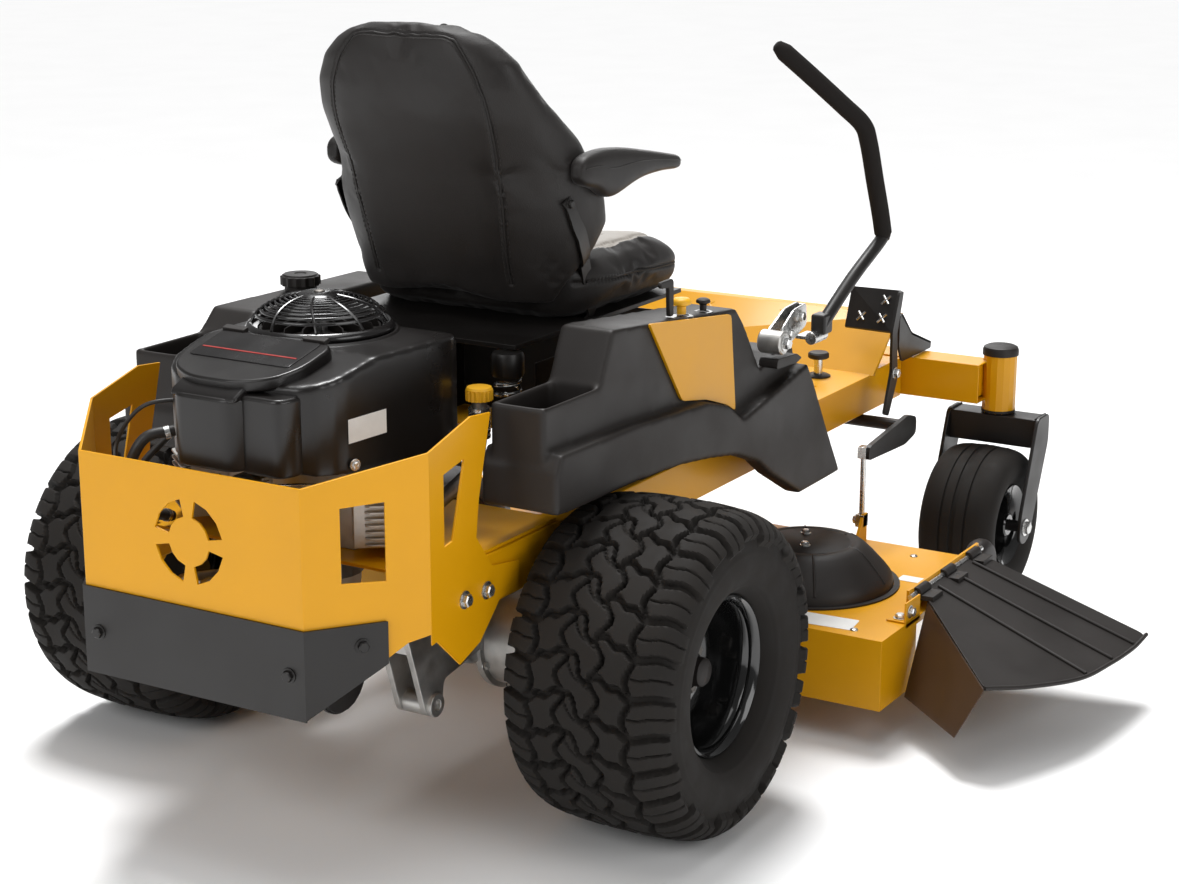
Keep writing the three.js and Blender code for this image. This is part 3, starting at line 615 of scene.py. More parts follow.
def make_wheels():
    for name, side in LEFT_AND_RIGHT:
        body = f"rear_wheel_{name}"
        new_piece(f"rear_tyre_tread_{name}", rear_tyre(side), RUBBER, body, [f"rear_tyre_{name}"],
                  crease_angle=38)
        rim = rear_rim()
        nuts = []
        for angle in spread(5, 0.3):
            at = (52 * math.cos(angle), -31.5, 52 * math.sin(angle))
            nuts.append(bolt(at, (0, -1, 0), across=19, height=13))
        cap = lathe([(0, 64), (23, 64), (25, 66), (24, 80), (20, 84), (0, 86)], (0, 0, 0), "y", 32)
        stem = sweep([(0, -12, 92), (0, -30, 92), (0, -52, 96)], [5.5, 5, 3.6], 12)
        hub = (0.0, side * DRIVE["y"], DRIVE["radius"])
        turn = Matrix.Identity(3) if side < 0 else Matrix.Rotation(math.pi, 3, "Z")
        new_piece(f"rear_rim_dish_{name}", moved(rim, hub, turn), RIM_PAINT, body, [f"rear_rim_{name}"])
        new_piece(f"rear_wheel_nuts_{name}", moved(merge(*nuts), hub, turn), STEEL, body)
        new_piece(f"rear_hub_cap_{name}", moved(merge(cap, stem), hub, turn), PLASTIC, body)
        make_front_wheel(name, side)


def make_front_wheel(name, side):
    body = f"caster_wheel_{name}"
    new_piece(f"front_tyre_ribbed_{name}", front_tyre(side), RUBBER, body, [f"front_tyre_{name}"])
    half = [(13, 68), (22, 68), (25, 65), (26, 30), (30, 22), (50, 17), (58, 20), (62, 40), (66, 56),
            (72, 63), (82, 67.5), (86, 70), (87.5, 67.5), (84, 64.5), (74, 57), (71.8, 51), (71.8, 0)]
    loop = [(r, w) for r, w in half] + [(r, -w) for r, w in reversed(half[:-1])]
    loop.append(loop[0])
    hub = (CASTER["x"], side * CASTER["y"], CASTER["radius"])
    new_piece(f"front_rim_dish_{name}", lathe(loop, hub, "y", 72), RIM_PAINT, body, [f"front_rim_{name}"])


# ---------- caster forks and frame ----------

def make_casters():
    x, z = CASTER["x"], CASTER["radius"]
    pivot = CASTER["pivot_x"]
    link = rounded([(pivot - 33, 392), (pivot + 34, 392), (pivot + 34, 330), (x + 30, 140), (x, 126),
                    (x - 30, 140), (x - 26, 190)], 16, 6)
    for name, side in LEFT_AND_RIGHT:
        body = f"caster_{name}"
        offset = (0, side * CASTER["y"], 0)
        crossbar = block(pivot - 31, pivot + 31, -98, 98, 325, 388)
        stem = lathe([(0, 380), (16, 380), (16, 530), (12, 534), (0, 534)], (pivot, 0, 0), sides=32)
        plates = [prism(link, "y", 97, 105), prism(link, "y", -105, -97)]
        shaft = cylinder(12, -108, 108, (x, 0, z), "y", 32)
        for part_name, shape in (("crossbar", crossbar), ("plates", merge(*plates)),
                                 ("stem", merge(stem, shaft))):
            nodes = [f"caster_fork_{name}"] if part_name == "plates" else []
            new_piece(f"caster_{part_name}_{name}", moved(shape, offset), BLACK_PAINT, body, nodes, bevel=2.0)
        ends = [bolt((x, y * 105, z), (0, y, 0), across=24, height=9) for y in (-1, 1)]
        new_piece(f"caster_axle_nuts_{name}", moved(merge(*ends), offset), ZINC, body)
        welds = [sweep(smooth_route([(pivot - 29, y * 96, 389), (pivot, y * 96, 390),
                                     (pivot + 29, y * 96, 389)], 4),
                       2.6, 8) for y in (-1, 1)]
        new_piece(f"caster_weld_beads_{name}", moved(merge(*welds), offset), BLACK_PAINT, body)
        # Dust cap over the swivel bearing, on the frame's barrel.
        barrel_cap = lathe([(0, 536), (30, 536), (36, 533), (38.5, 527), (38.5, 516), (36.5, 516)],
                           (pivot, 0, 0), sides=40)
        seal = lathe([(18, 389.2), (34, 389.2), (36.5, 392), (36.5, 397)], (pivot, 0, 0), sides=40)
        new_piece(f"caster_barrel_cap_{name}", moved(merge(barrel_cap, seal), offset), PLASTIC, "chassis")


def make_frame():
    for node in ("frame_rail_left", "frame_rail_right", "front_axle"):
        dress(node, YELLOW, bevel=3.0, segments=3)
    for node in ("engine_plate", "floor_pan", "footrest_plate"):
        dress(node, YELLOW, bevel=1.2)
    dress("engine_guard", YELLOW, bevel=1.4)
    dress("guard_plate", BLACK_PAINT, bevel=1.2)
    dress("seat_support", BLACK_PAINT, bevel=1.2)
    dress("muffler", BLACK_PAINT, bevel=5.0, segments=4)
    for side in ("left", "right"):
        dress(f"side_panel_{side}", YELLOW, bevel=2.0, segments=3)
    make_gussets()
    make_guard_fasteners()


def make_transaxle(name, side):
    """Cast drive unit: axle drum with a flange, pump housing, belt pulley and a forked foot with a boss."""
    drum = lathe([(0, -318), (52, -318), (60, -312), (84, -300), (88, -290), (88, -222), (97, -220),
                  (97, -208), (84, -204), (70, -190), (0, -190)], (6, 0, DRIVE["radius"]), "y", 56)
    horn = cylinder(38, -345, -300, (0, 0, DRIVE["radius"]), "y", 40)
    pump = prism(rounded([(-140, 300), (-110, 250), (40, 240), (70, 300), (50, 392), (-130, 396)], 18), "y",
                 138, 214)
    new_piece(f"transaxle_drum_{name}", on_side(drum, side), ALUMINIUM, "chassis", [f"transaxle_{name}"],
              crease_angle=35)
    new_piece(f"transaxle_horn_{name}", on_side(horn, side), ALUMINIUM, "chassis")
    new_piece(f"transaxle_pump_{name}", on_side(pump, side), ALUMINIUM, "chassis", bevel=8)
    foot = [(-110, 356), (-316, 396), (-330, 388), (-300, 300), (-276, 226), (-250, 210), (-228, 226),
            (-222, 268), (-110, 286)]
    arms = [prism(rounded(foot, 10), "y", y, y + 11) for y in (176, 226)]
    window = tube(9, 20, 0, 72, sides=32)
    boss = moved(window, (-252, 172, 234), turn_to((0, 1, 0)))
    ribs = [block(-300 + 40 * k, -294 + 40 * k, 186, 228, 330 - 8 * k, 384 - 8 * k) for k in range(4)]
    new_piece(f"transaxle_foot_{name}", on_side(merge(*arms, boss, *ribs), side), ALUMINIUM, "chassis",
              bevel=2)
    studs = []
    for angle in spread(6, 0.4):
        studs.append(bolt((6 + 90 * math.cos(angle), 220, DRIVE["radius"] + 90 * math.sin(angle)),
                          (0, 1, 0), 12, 6))
    new_piece(f"transaxle_studs_{name}", on_side(merge(*studs), side), ZINC, "chassis")
    pulley = lathe([(0, 399), (55, 399), (55, 402), (46, 405), (55, 408), (55, 411), (0, 411)],
                   (-20, 170, 0), sides=48)
    new_piece(f"transaxle_pulley_{name}", on_side(pulley, side), STEEL, "chassis")


def make_axle_ends():
    """Plates that close the cross tube behind each caster barrel."""
    for name, side in LEFT_AND_RIGHT:
        plate = block(1408, 1470, 486, 500, 426, 496)
        new_piece(f"axle_end_plate_{name}", on_side(plate, side), YELLOW, "chassis", bevel=2)


def make_gussets():
    """Black brackets that brace the footrest against the front axle, one on each side."""
    outline = rounded([(1323, 606), (1337, 612), (1392, 560), (1500, 520), (1500, 505), (1340, 505),
                       (1322, 540)], 8)
    for name, side in LEFT_AND_RIGHT:
        plate = prism(outline, "y", 353, 358)
        flange = prism([(1335, 612), (1392, 560), (1500, 520), (1500, 514), (1390, 554), (1331, 607)], "y",
                       334, 358)
        new_piece(f"footrest_gusset_{name}", on_side(plate, side), BLACK_PAINT, "chassis", bevel=1.2)
        new_piece(f"footrest_gusset_flange_{name}", on_side(flange, side), BLACK_PAINT, "chassis", bevel=1.0)


def make_guard_fasteners():
    """Bolts that hold the guard to the rails and the lower plate to the guard."""
    run = Vector((-399 + 560, 0, 0)) + Vector((0, 337.5 - 217, 0))
    along = run.normalized()
    outward = Vector((-along.y, along.x, 0))
    bolts, plate_bolts = [], []
    for side in (1, -1):
        for x, z in ((-308, 448), (-246, 446)):
            bolts.append(bolt((x, side * 337.5, z), (0, side, 0), across=19, height=9))
        at = Vector((-560, 217, 0)) + along * 90 + outward * 4.6
        plate_bolts.append(bolt((at.x, side * at.y, 417), (outward.x, side * outward.y, 0), across=16,
                                height=7))
        plate_bolts.append(bolt((-564.4, side * 190, 377), (-1, 0, 0), across=16, height=7))
    new_piece("guard_bolts", merge(*bolts), ZINC, "chassis")
    new_piece("guard_plate_bolts", merge(*plate_bolts), BLACK_PAINT, "chassis")


# ---------- seat ----------

def soft_form(name, sections, material, body):
    """A closed form lofted through rings of equal length, its two ends closed by a fan."""
    points, faces = [], []
    count = len(sections[0])
    for ring in sections:
        points.extend(ring)
    for i in range(len(sections) - 1):
        for k in range(count):
            nxt = (k + 1) % count
            faces.append((i * count + k, i * count + nxt, (i + 1) * count + nxt, (i + 1) * count + k))
    for ring in (0, len(sections) - 1):
        centre = np.mean(np.array(sections[ring]), axis=0)
        points.append(tuple(centre))
        for k in range(count):
            faces.append((len(points) - 1, ring * count + k, ring * count + (k + 1) % count))
    return new_piece(name, (points, faces), material, body)


def apply_modifier(piece, modifier):
    """Applies a modifier to the piece's own mesh."""
    with bpy.context.temp_override(object=piece, active_object=piece, selected_objects=[piece]):
        bpy.ops.object.modifier_apply(modifier=modifier.name)


def coordinates(piece):
    """The vertices of a piece in millimetres from the axle."""
    co = np.empty(len(piece.data.vertices) * 3)
    piece.data.vertices.foreach_get("co", co)
    return (co.reshape(-1, 3) - np.array(AXLE)) / MM


def set_coordinates(piece, co):
    piece.data.vertices.foreach_set("co", (co * MM + np.array(AXLE)).ravel())
    piece.data.update()


def inflate(piece, voxel, cap):
    """Remeshes a soft form and lets its cover swell under pressure, no point moving further than cap."""
    remesh = piece.modifiers.new("remesh", "REMESH")
    remesh.mode = "VOXEL"
    remesh.voxel_size = voxel * MM
    apply_modifier(piece, remesh)
    relax = piece.modifiers.new("relax", "SMOOTH")
    relax.factor, relax.iterations = 0.5, 6
    apply_modifier(piece, relax)
    before = coordinates(piece)
    cloth = piece.modifiers.new("cloth", "CLOTH")
    settings = cloth.settings
    settings.quality = 4
    settings.mass = 0.3
    settings.tension_stiffness = settings.compression_stiffness = 18
    settings.bending_stiffness = 6.0
    settings.use_pressure = True
    settings.uniform_pressure_force = 4.0
    settings.effector_weights.gravity = 0.0
    cloth.collision_settings.use_collision = False
    scene = bpy.context.scene
    for number in range(1, 21):
        scene.frame_set(number)
    swollen = piece.evaluated_get(bpy.context.evaluated_depsgraph_get())
    after = coordinates(swollen)
    piece.modifiers.remove(cloth)
    scene.frame_set(1)
    move = after - before
    length = np.linalg.norm(move, axis=1, keepdims=True)
    set_coordinates(piece, before + move * np.minimum(1, cap / np.maximum(length, 1e-6)))
    relax = piece.modifiers.new("relax", "SMOOTH")
    relax.factor, relax.iterations = 0.5, 3
    apply_modifier(piece, relax)
    finer = piece.modifiers.new("finer", "SUBSURF")
    finer.levels = finer.render_levels = 1
    apply_modifier(piece, finer)
    piece.data.polygons.foreach_set("use_smooth", [True] * len(piece.data.polygons))


def press_seams(piece, seams, depth=3.2, width=4.0):
    """Pulls the cover in along seam lines, given as points on the surface."""
    co = coordinates(piece)
    normals = np.empty(len(co) * 3)
    piece.data.vertices.foreach_get("normal", normals)
    normals = normals.reshape(-1, 3)
    line = [p for seam in seams for p in seam]
    tree = KDTree(len(line))
    for i, p in enumerate(line):
        tree.insert(p, i)
    tree.balance()
    for i, point in enumerate(co):
        distance = tree.find(point)[2]
        if distance < width * 4:
            co[i] -= normals[i] * depth * math.exp(-(distance / width) ** 2)
    set_coordinates(piece, co)


def on_surface(piece, points, lift=0.0):
    """The nearest places on a piece to some points, lifted off along the surface."""
    result = []
    for point in points:
        where, normal = piece.closest_point_on_mesh(place(point))[1:3]
        result.append((where - AXLE) / MM + Vector(normal) * lift)
    return result


BACK_LEVELS = [
    # z, rear x, front x at the middle, front x of the bolsters, half width
    (818, 152, 196, 206, 200), (850, 142, 206, 225, 212), (900, 128, 214, 296, 228),
    (950, 114, 206, 334, 240), (1000, 100, 194, 320, 244), (1050, 84, 182, 290, 236),
    (1100, 64, 168, 254, 232), (1150, 44, 152, 200, 226), (1200, 31, 132, 150, 214),
    (1245, 25, 114, 120, 192), (1276, 24, 98, 98, 158), (1294, 28, 84, 84, 124), (1303, 42, 72, 72, 88),
]


def superellipse(angle, power):
    c, s = math.cos(angle), math.sin(angle)
    return math.copysign(abs(c) ** (2 / power), c), math.copysign(abs(s) ** (2 / power), s)


def back_section(level, count=56):
    z, rear, front, bolster, half = level
    ring = []
    for k in range(count):
        across, along = superellipse(2 * math.pi * k / count, 4.4)
        y = across * half
        share = min(1.0, max(0.0, (abs(across) - 0.45) / 0.4))
        share = share * share * (3 - 2 * share)
        top = front + (bolster - front) * share
        middle = (rear + top) / 2
        x = middle + along * (top - middle) if along > 0 else middle + along * (middle - rear)
        # The rear shell curves forward round the sides.
        x += 22 * max(0.0, abs(across) - 0.55) ** 1.6 / 0.45 ** 1.6 if along <= 0 else 0
        ring.append((x, y, z))
    return ring


REAR_PANEL = [(812, 184), (866, 182), (950, 184), (1016, 186), (1061, 184), (1120, 174), (1179, 160),
              (1225, 142), (1268, 114), (1285, 98)]


def make_seat_back():
    levels = np.array(BACK_LEVELS, float)
    heights = np.linspace(levels[0, 0], levels[-1, 0], 34)
    dense = [[z, *(np.interp(z, levels[:, 0], levels[:, k]) for k in range(1, 5))] for z in heights]
    back = soft_form("seat_back_cover", [back_section(level) for level in dense], VINYL, "seat")
    inflate(back, 5.0, 9.0)
    left = [(50, half, z) for z, half in REAR_PANEL]
    right = [(50, -half, z) for z, half in REAR_PANEL]
    across_top = [(20, y, 1287) for y in (104, 70, 35, 0, -35, -70, -104)]
    route = smooth_route(left + across_top[1:-1] + right[::-1], 14)
    seam = on_surface(back, [(min(p.x, 20), p.y, p.z) for p in route])
    press_seams(back, [seam])
    piping = smooth_route(on_surface(back, seam[::6], lift=0.6), 6)
    new_piece("seat_back_welt", sweep(piping, 2.1, 8), VINYL, "seat")
    for name, offset in (("outer", 7.0), ("inner", -7.0)):
        stitches = []
        path = []
        for i in range(0, len(seam) - 1, 2):
            tangent = (seam[i + 1] - seam[i]).normalized()
            normal = back.closest_point_on_mesh(place(seam[i]))[2]
            path.append(seam[i] + tangent.cross(Vector(normal)).normalized() * offset)
        path = resampled(on_surface(back, path, lift=0.25), 260)
        for a, b in zip(path[::2], path[1::2]):
            stitches.append(sweep([Vector(a), (Vector(a) + Vector(b)) / 2 + Vector((-0.3, 0, 0)),
                                   Vector(b)], 0.55, 5))
        new_piece(f"seat_back_stitching_{name}", merge(*stitches), THREAD, "seat")
    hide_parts("seat_back")
    return back


def cushion_section(z, half, rear, front, power, count=72):
    ring = []
    middle, reach = (rear + front) / 2, (front - rear) / 2
    for k in range(count):
        along, across = superellipse(2 * math.pi * k / count, power)
        ring.append((middle + along * reach, across * half, z))
    return ring


def make_cushion():
    levels = [
        # z, half width, rear x, front x, squareness
        (786, 214, 206, 596, 6), (794, 228, 200, 608, 6), (812, 236, 198, 618, 6), (838, 238, 198, 622, 6),
        (858, 237, 198, 618, 6), (872, 232, 200, 606, 5.5), (882, 222, 206, 590, 5),
        (888, 200, 224, 566, 4.5), (890, 150, 262, 520, 4),
    ]
    rings = [cushion_section(*level) for level in levels]
    cushion = soft_form("seat_cushion_cover", rings, VINYL, "seat")
    inflate(cushion, 5.0, 9.0)
    co = coordinates(cushion)
    # The front falls away under the knees, and the bolsters stand a little above the seating area.
    fall = np.clip((co[:, 0] - 470) / 170, 0, 1) ** 1.6
    top = np.clip((co[:, 2] - 800) / 90, 0, 1)
    co[:, 2] -= 34 * fall * top
    dish = np.exp(-(co[:, 1] / 135) ** 4) * np.clip((co[:, 2] - 870) / 20, 0, 1)
    co[:, 2] -= 9 * dish
    set_coordinates(cushion, co)
    outline = [(210, 232), (420, 238), (560, 236), (606, 214), (624, 150), (628, 0)]
    loop = outline + [(x, -y) for x, y in reversed(outline[:-1])]
    side_seam = smooth_route([(x, y, 848 - 20 * max(0, (x - 300)) / 320) for x, y in loop], 22)
    seam = on_surface(cushion, side_seam)
    insert = [(226, 190), (420, 200), (550, 192), (590, 140), (600, 0)]
    insert_loop = insert + [(x, -y) for x, y in reversed(insert[:-1])]
    insert_route = smooth_route([(x, y, 905) for x, y in insert_loop], 22)
    top_seam = on_surface(cushion, [(p.x, p.y, 905) for p in insert_route])
    channels = [on_surface(cushion, [(x, y, 905) for y in np.linspace(-140, 140, 70)]) for x in (330, 440)]
    press_seams(cushion, [seam, top_seam, *channels])
    new_piece("seat_cushion_welt", sweep(smooth_route(on_surface(cushion, seam[::8], lift=0.6), 8), 2.1, 8),
              VINYL, "seat")
    # The light insert is part of the same cover, told apart by its own vinyl.
    cushion.data.materials.append(GREY_VINYL)
    for face in cushion.data.polygons:
        centre = (Vector(face.center) - AXLE) / MM
        inside = 222 < centre.x < 598 and abs(centre.y) < 197 - 60 * max(0, (centre.x - 535) / 60) ** 2
        if inside and face.normal.z > 0.3:
            face.material_index = 1
    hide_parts("seat_cushion")


ARM_Y = 256.0


def make_armrests():
    stations = [
        # x, top z, bottom z, half width
        (164, 1062, 1040, 11), (172, 1074, 1030, 16), (190, 1080, 1024, 19), (220, 1083, 1018, 20.5),
        (245, 1084, 998, 21), (275, 1082, 996, 21), (312, 1078, 1006, 21), (360, 1070, 1018, 20.5),
        (410, 1061, 1021, 20),
        (455, 1052, 1021, 19.5), (488, 1046, 1018, 18.5), (503, 1042, 1019, 16), (508, 1036, 1024, 11),
    ]
    for name, side in LEFT_AND_RIGHT:
        rings = []
        for x, top, bottom, half in stations:
            ring = []
            for k in range(28):
                across, up = superellipse(2 * math.pi * k / 28, 3.0)
                ring.append((x, side * (ARM_Y + across * half), (top + bottom) / 2 + up * (top - bottom) / 2))
            rings.append(ring)
        pad = soft_form(f"armrest_pad_{name}", rings, VINYL, f"armrest_{name}")
        round_form(pad)
        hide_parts(f"armrest_{name}")
        edge_line = smooth_route([(x, side * (ARM_Y + half * 0.98), (top * 0.62 + bottom * 0.38))
                                  for x, top, bottom, half in stations[1:-1]], 6)
        seam = smooth_route(on_surface(pad, edge_line[::3], lift=0.3), 3)
        new_piece(f"armrest_seam_{name}", sweep(seam, 1.1, 6), VINYL, f"armrest_{name}")
        # Pivot: a bracket on the seat, a bolt and the stop under the pad.
        bracket = prism(rounded([(200, 1034), (264, 1040), (272, 994), (246, 969), (210, 969)], 10), "y",
                        226, 233)
        new_piece(f"armrest_bracket_{name}", on_side(bracket, side), BLACK_PAINT, "seat", bevel=1.2)
        pin = moved(cylinder(9, 0, 6, sides=24), (236, 229, 1014), turn_to((0, 1, 0)))
        new_piece(f"armrest_pivot_{name}", on_side(merge(pin, bolt((250, 233, 984), (0, 1, 0), 13, 6)),
                                                   side), ZINC, "seat")


def round_form(pad):
    """Rounds a lofted form by subdividing it."""
    smooth = pad.modifiers.new("smooth_form", "SUBSURF")
    smooth.levels = smooth.render_levels = 2
    apply_modifier(pad, smooth)
    pad.data.polygons.foreach_set("use_smooth", [True] * len(pad.data.polygons))


def make_seat_straps(back):
    """Flat steel straps that lie on the sides of the back and turn in under the cushion."""
    for name, side in LEFT_AND_RIGHT:
        route = [(126 + 152 * k / 14, side * 300, 1006 - 190 * k / 14) for k in range(15)]
        line = on_surface(back, route, lift=2.0)
        line.append(Vector((286, side * 214, 790)))
        line.append(Vector((286, side * 206, 774)))
        points, faces = [], []
        for k, spot in enumerate(line):
            along = (line[min(k + 1, len(line) - 1)] - line[max(k - 1, 0)]).normalized()
            across = along.cross(Vector((0, side, 0))).normalized()
            out = across.cross(along).normalized() * 2
            half = 15 if k else 19
            points += [spot + across * half + out, spot - across * half + out, spot - across * half - out,
                       spot + across * half - out]
        for k in range(len(line) - 1):
            a, b = 4 * k, 4 * k + 4
            faces += [(a + j, a + (j + 1) % 4, b + (j + 1) % 4, b + j) for j in range(4)]
        end = 4 * (len(line) - 1)
        faces += [(3, 2, 1, 0), (end, end + 1, end + 2, end + 3)]
        strap = ([tuple(p) for p in points], faces)
        new_piece(f"seat_strap_{name}", strap, BLACK_PAINT, "seat", bevel=0.8)
        top = line[0]
        new_piece(f"seat_strap_bolt_{name}", bolt((top.x + 3, top.y + side * 2, top.z - 10), (0, side, 0),
                                                  13, 6), BLACK_PAINT,
                  "seat")


def make_seat_hardware():
    pan = block(20, 596, -224, 224, 770, 778)
    new_piece("seat_pan_sheet", pan, BLACK_PAINT, "seat", ["seat_pan"], bevel=1.0)
    springs, sleeves = [], []
    coil_radius, coil_foot, coil_height, turns, steps = 21, 640, 92, 5.5, 16
    for side in (1, -1):
        x, y = 12, side * 214
        points = []
        for i in range(int(turns * steps) + 1):
            angle = 2 * math.pi * i / steps
            points.append((x + coil_radius * math.cos(angle), y + coil_radius * math.sin(angle),
                           coil_foot + coil_height * i / (turns * steps)))
        springs.append(sweep(points, 3.4, 8))
        upper = [(0, 728), (26, 728), (28, 732), (28, 762), (25, 768), (0, 768)]
        lower = [(0, 598), (24, 598), (26, 602), (26, 636), (22, 640), (0, 640)]
        sleeves += [lathe(profile, (x, y, 0), sides=32) for profile in (upper, lower)]
    new_piece("seat_springs", merge(*springs), CHROME, "chassis")
    new_piece("seat_spring_sleeves", merge(*sleeves), BLACK_PAINT, "chassis", crease_angle=30)


# ---------- steering levers and switches ----------

def make_levers():
    tube_route = smooth_route([(690, 470, 716), (796, 481, 788), (886, 495, 845), (902, 497, 860)], 8)
    grip_route = smooth_route([(903, 497, 852), (880, 498, 905), (848, 499, 970), (814, 499, 1045),
                               (797, 493, 1080), (772, 464, 1116), (730, 415, 1173), (689, 367, 1227)], 9)
    count = len(grip_route)
    radii = [17.0 - 5 * max(0, 1 - i / 2) - 6 * max(0, 1 - (count - 1 - i) / 2) for i in range(count)]
    end = grip_route[-1] + (grip_route[-1] - grip_route[-2]).normalized() * 3
    for name, side in LEFT_AND_RIGHT:
        body = f"lap_bar_{name}"
        grip = sweep(grip_route + [end], radii + [7.0], 24)
        new_piece(f"lap_bar_grip_{name}", on_side(grip, side), FOAM, body, [f"lap_bar_{name}"])
        new_piece(f"lap_bar_tube_{name}", on_side(sweep(tube_route, 12.5, 24), side), BLACK_PAINT, body)
        collar = sweep([tube_route[-6], tube_route[-1]], 14.2, 24)
        new_piece(f"lap_bar_collar_{name}", on_side(collar, side), BLACK_PAINT, body)
        make_lever_bracket(name, side)


def make_lever_bracket(name, side):
    body = f"lever_bracket_{name}"
    drum = lathe([(0, -404), (19, -404), (22, -407), (22, -449), (19, -452), (0, -452)], (575, 0, 702), "y",
                 40)
    arm = prism(rounded([(566, 690), (600, 684), (706, 708), (702, 756), (640, 752), (562, 716)], 12), "y",
                414, 419)
    ear = prism(rounded([(596, 692), (640, 690), (704, 712), (700, 754), (648, 750), (600, 722)], 10), "y",
                430, 434)
    web = prism([(700, 712), (706, 712), (702, 752), (696, 752)], "y", 417, 432)
    new_piece(f"lever_drum_{name}", on_side(drum, side), ALUMINIUM, body, [f"lever_bracket_{name}"],
              bevel=1.0)
    new_piece(f"lever_clevis_{name}", on_side(merge(arm, web), side), ZINC, body, bevel=1.2)
    new_piece(f"lever_ear_{name}", on_side(ear, side), ZINC, body, bevel=1.2)
    clamp = block(680, 716, 452, 482, 700, 738)
    new_piece(f"lever_clamp_{name}", on_side(clamp, side), BLACK_PAINT, f"lap_bar_{name}", bevel=5)
    nuts = [bolt((625, 434, 708), (0, 1, 0), 16, 8), bolt((672, 434, 733), (0, 1, 0), 16, 8),
            bolt((575, 452, 702), (0, 1, 0), 19, 9)]
    new_piece(f"lever_nuts_{name}", on_side(merge(*nuts), side), ZINC, body)
    hinge = merge(block(668, 716, 428, 462, 691, 697),
                  moved(lathe([(0, 0), (11, 0), (12, 1), (12, 51), (11, 52), (0, 52)], sides=28),
                        (664, 461, 695), turn_to((1, 0, 0))))
    new_piece(f"lever_swing_hinge_{name}", on_side(hinge, side), ZINC, body, bevel=0.8)
    cover = prism(rounded([(556, 656), (640, 652), (662, 658), (640, 670), (560, 674)], 6), "y", 408, 446)
    new_piece(f"lever_slot_cover_{name}", on_side(cover, side), PLASTIC, "chassis", bevel=2.5)


def lid_height(x):
    return 828 - 42 * (x - 12) / 435


def make_switches():
    row = -398
    knob_base = lid_height(278 - 17) + 1
    knob = lathe([(0, 0), (8, 0), (8, 13), (12, 15), (16.4, 17), (17, 19), (16.4, 24), (13, 27.2), (6, 28),
                  (0, 28)],
                 (278, row, knob_base), sides=40)
    new_piece("pto_knob_head", knob, YELLOW_PLASTIC, "pto_knob", ["pto_knob"])
    base = lid_height(357 - 13) + 1
    knob = lathe([(0, 0), (6, 0), (6, 10), (9, 12.5), (12.4, 14), (13, 16), (11.5, 19.5), (7, 21.7), (0, 22)],
                 (357, row, base), sides=40)
    new_piece("choke_knob_head", knob, PLASTIC, "choke_knob", ["choke_knob"])
    foot = lid_height(230) + 1
    lever = prism(rounded([(-7, 0), (7, 0), (7, 60), (2, 65), (-36, 64), (-38, 58), (-34, 53), (-10, 51)],
                          5), "y", -4, 4)
    new_piece("throttle_lever_blade", moved(lever, (237, row, foot)), PLASTIC, "throttle_lever",
              ["throttle_lever"], bevel=2)
    bezels = [block(214, 262, row - 9, row + 9, lid_height(238) - 4, lid_height(238) + 0.4)]
    for x, radius in ((278, 22), (357, 18)):
        z = lid_height(x + radius)
        inner = radius * 0.6
        profile = [(inner, z - 3), (radius, z - 3), (radius, z + 0.9), (radius * 0.9, z + 2.2),
                   (inner, z + 2.2), (inner, z - 3)]
        bezels.append(lathe(profile, (x, row, 0), sides=36))
    new_piece("switch_bezels", merge(*bezels), GRILLE, "chassis", bevel=0.5)
    stem = cylinder(9, 0, 38, (1126, -262, 506), sides=24)
    cap = lathe([(0, 38), (19, 38), (22, 40.5), (22, 48), (19, 51), (0, 52)], (1126, -262, 506), sides=40)
    new_piece("height_knob_stem", stem, ZINC, "height_knob", ["height_knob"])
    new_piece("height_knob_cap", cap, PLASTIC, "height_knob")
    collar = lathe([(9.6, 505.6), (26, 505.6), (26, 508), (20, 511), (9.6, 511)], (1126, -262, 0), sides=32)
    new_piece("height_knob_collar", collar, PLASTIC, "chassis")


def make_pedal():
    dress("lift_pedal", BLACK_PAINT, bevel=1.2)
    dress("lift_shaft", BLACK_PAINT, bevel=2.0)
    # Raised crosses on the pad give the shoe its grip.
    corner, right, up = Vector((1181, -400, 604)), Vector((36, 122, -7)), Vector((45, 0, 80))
    outward = right.cross(up).normalized()
    if outward.x > 0:
        outward.negate()
    crosses = []
    for a in (0.24, 0.68):
        for b in (0.28, 0.72):
            centre = corner + right * a + up * b + outward * 4.0
            for lean in (1, -1):
                stroke = (right.normalized() + up.normalized() * lean).normalized()
                crosses.append(sweep([centre - stroke * 13, centre + stroke * 13], 2.6, 8))
    new_piece("pedal_grip_crosses", merge(*crosses), ZINC, "lift_pedal")
    # Crosses of the same kind stand on the floor and on the sloping footrest.
    grips = []
    for y in (-290, -190, -90, 90, 190, 290):
        for x, z, lean in ((930, 505.6, 0.0), (1030, 505.6, 0.0), (1250, 535.5, 0.88), (1305, 587.0, 0.88)):
            if abs(y) == 290 and x < 1100 or abs(y) < 250:
                forward = Vector((1, 0, lean)).normalized()
                for way in (1, -1):
                    stroke = (forward + Vector((0, way, 0))).normalized() * 12
                    middle = Vector((x, y, z + (2.0 if lean else 0)))
                    grips.append(sweep([middle - stroke, middle + stroke], 2.4, 8))
    new_piece("floor_grip_crosses", merge(*grips), YELLOW, "chassis")
    pivot = bolt((1196, -404, 515), (0, -1, 0), across=16, height=9)
    new_piece("pedal_pivot_bolt", pivot, ZINC, "chassis")


# ---------- engine ----------

CRANK = Vector((-222, -5, 0))


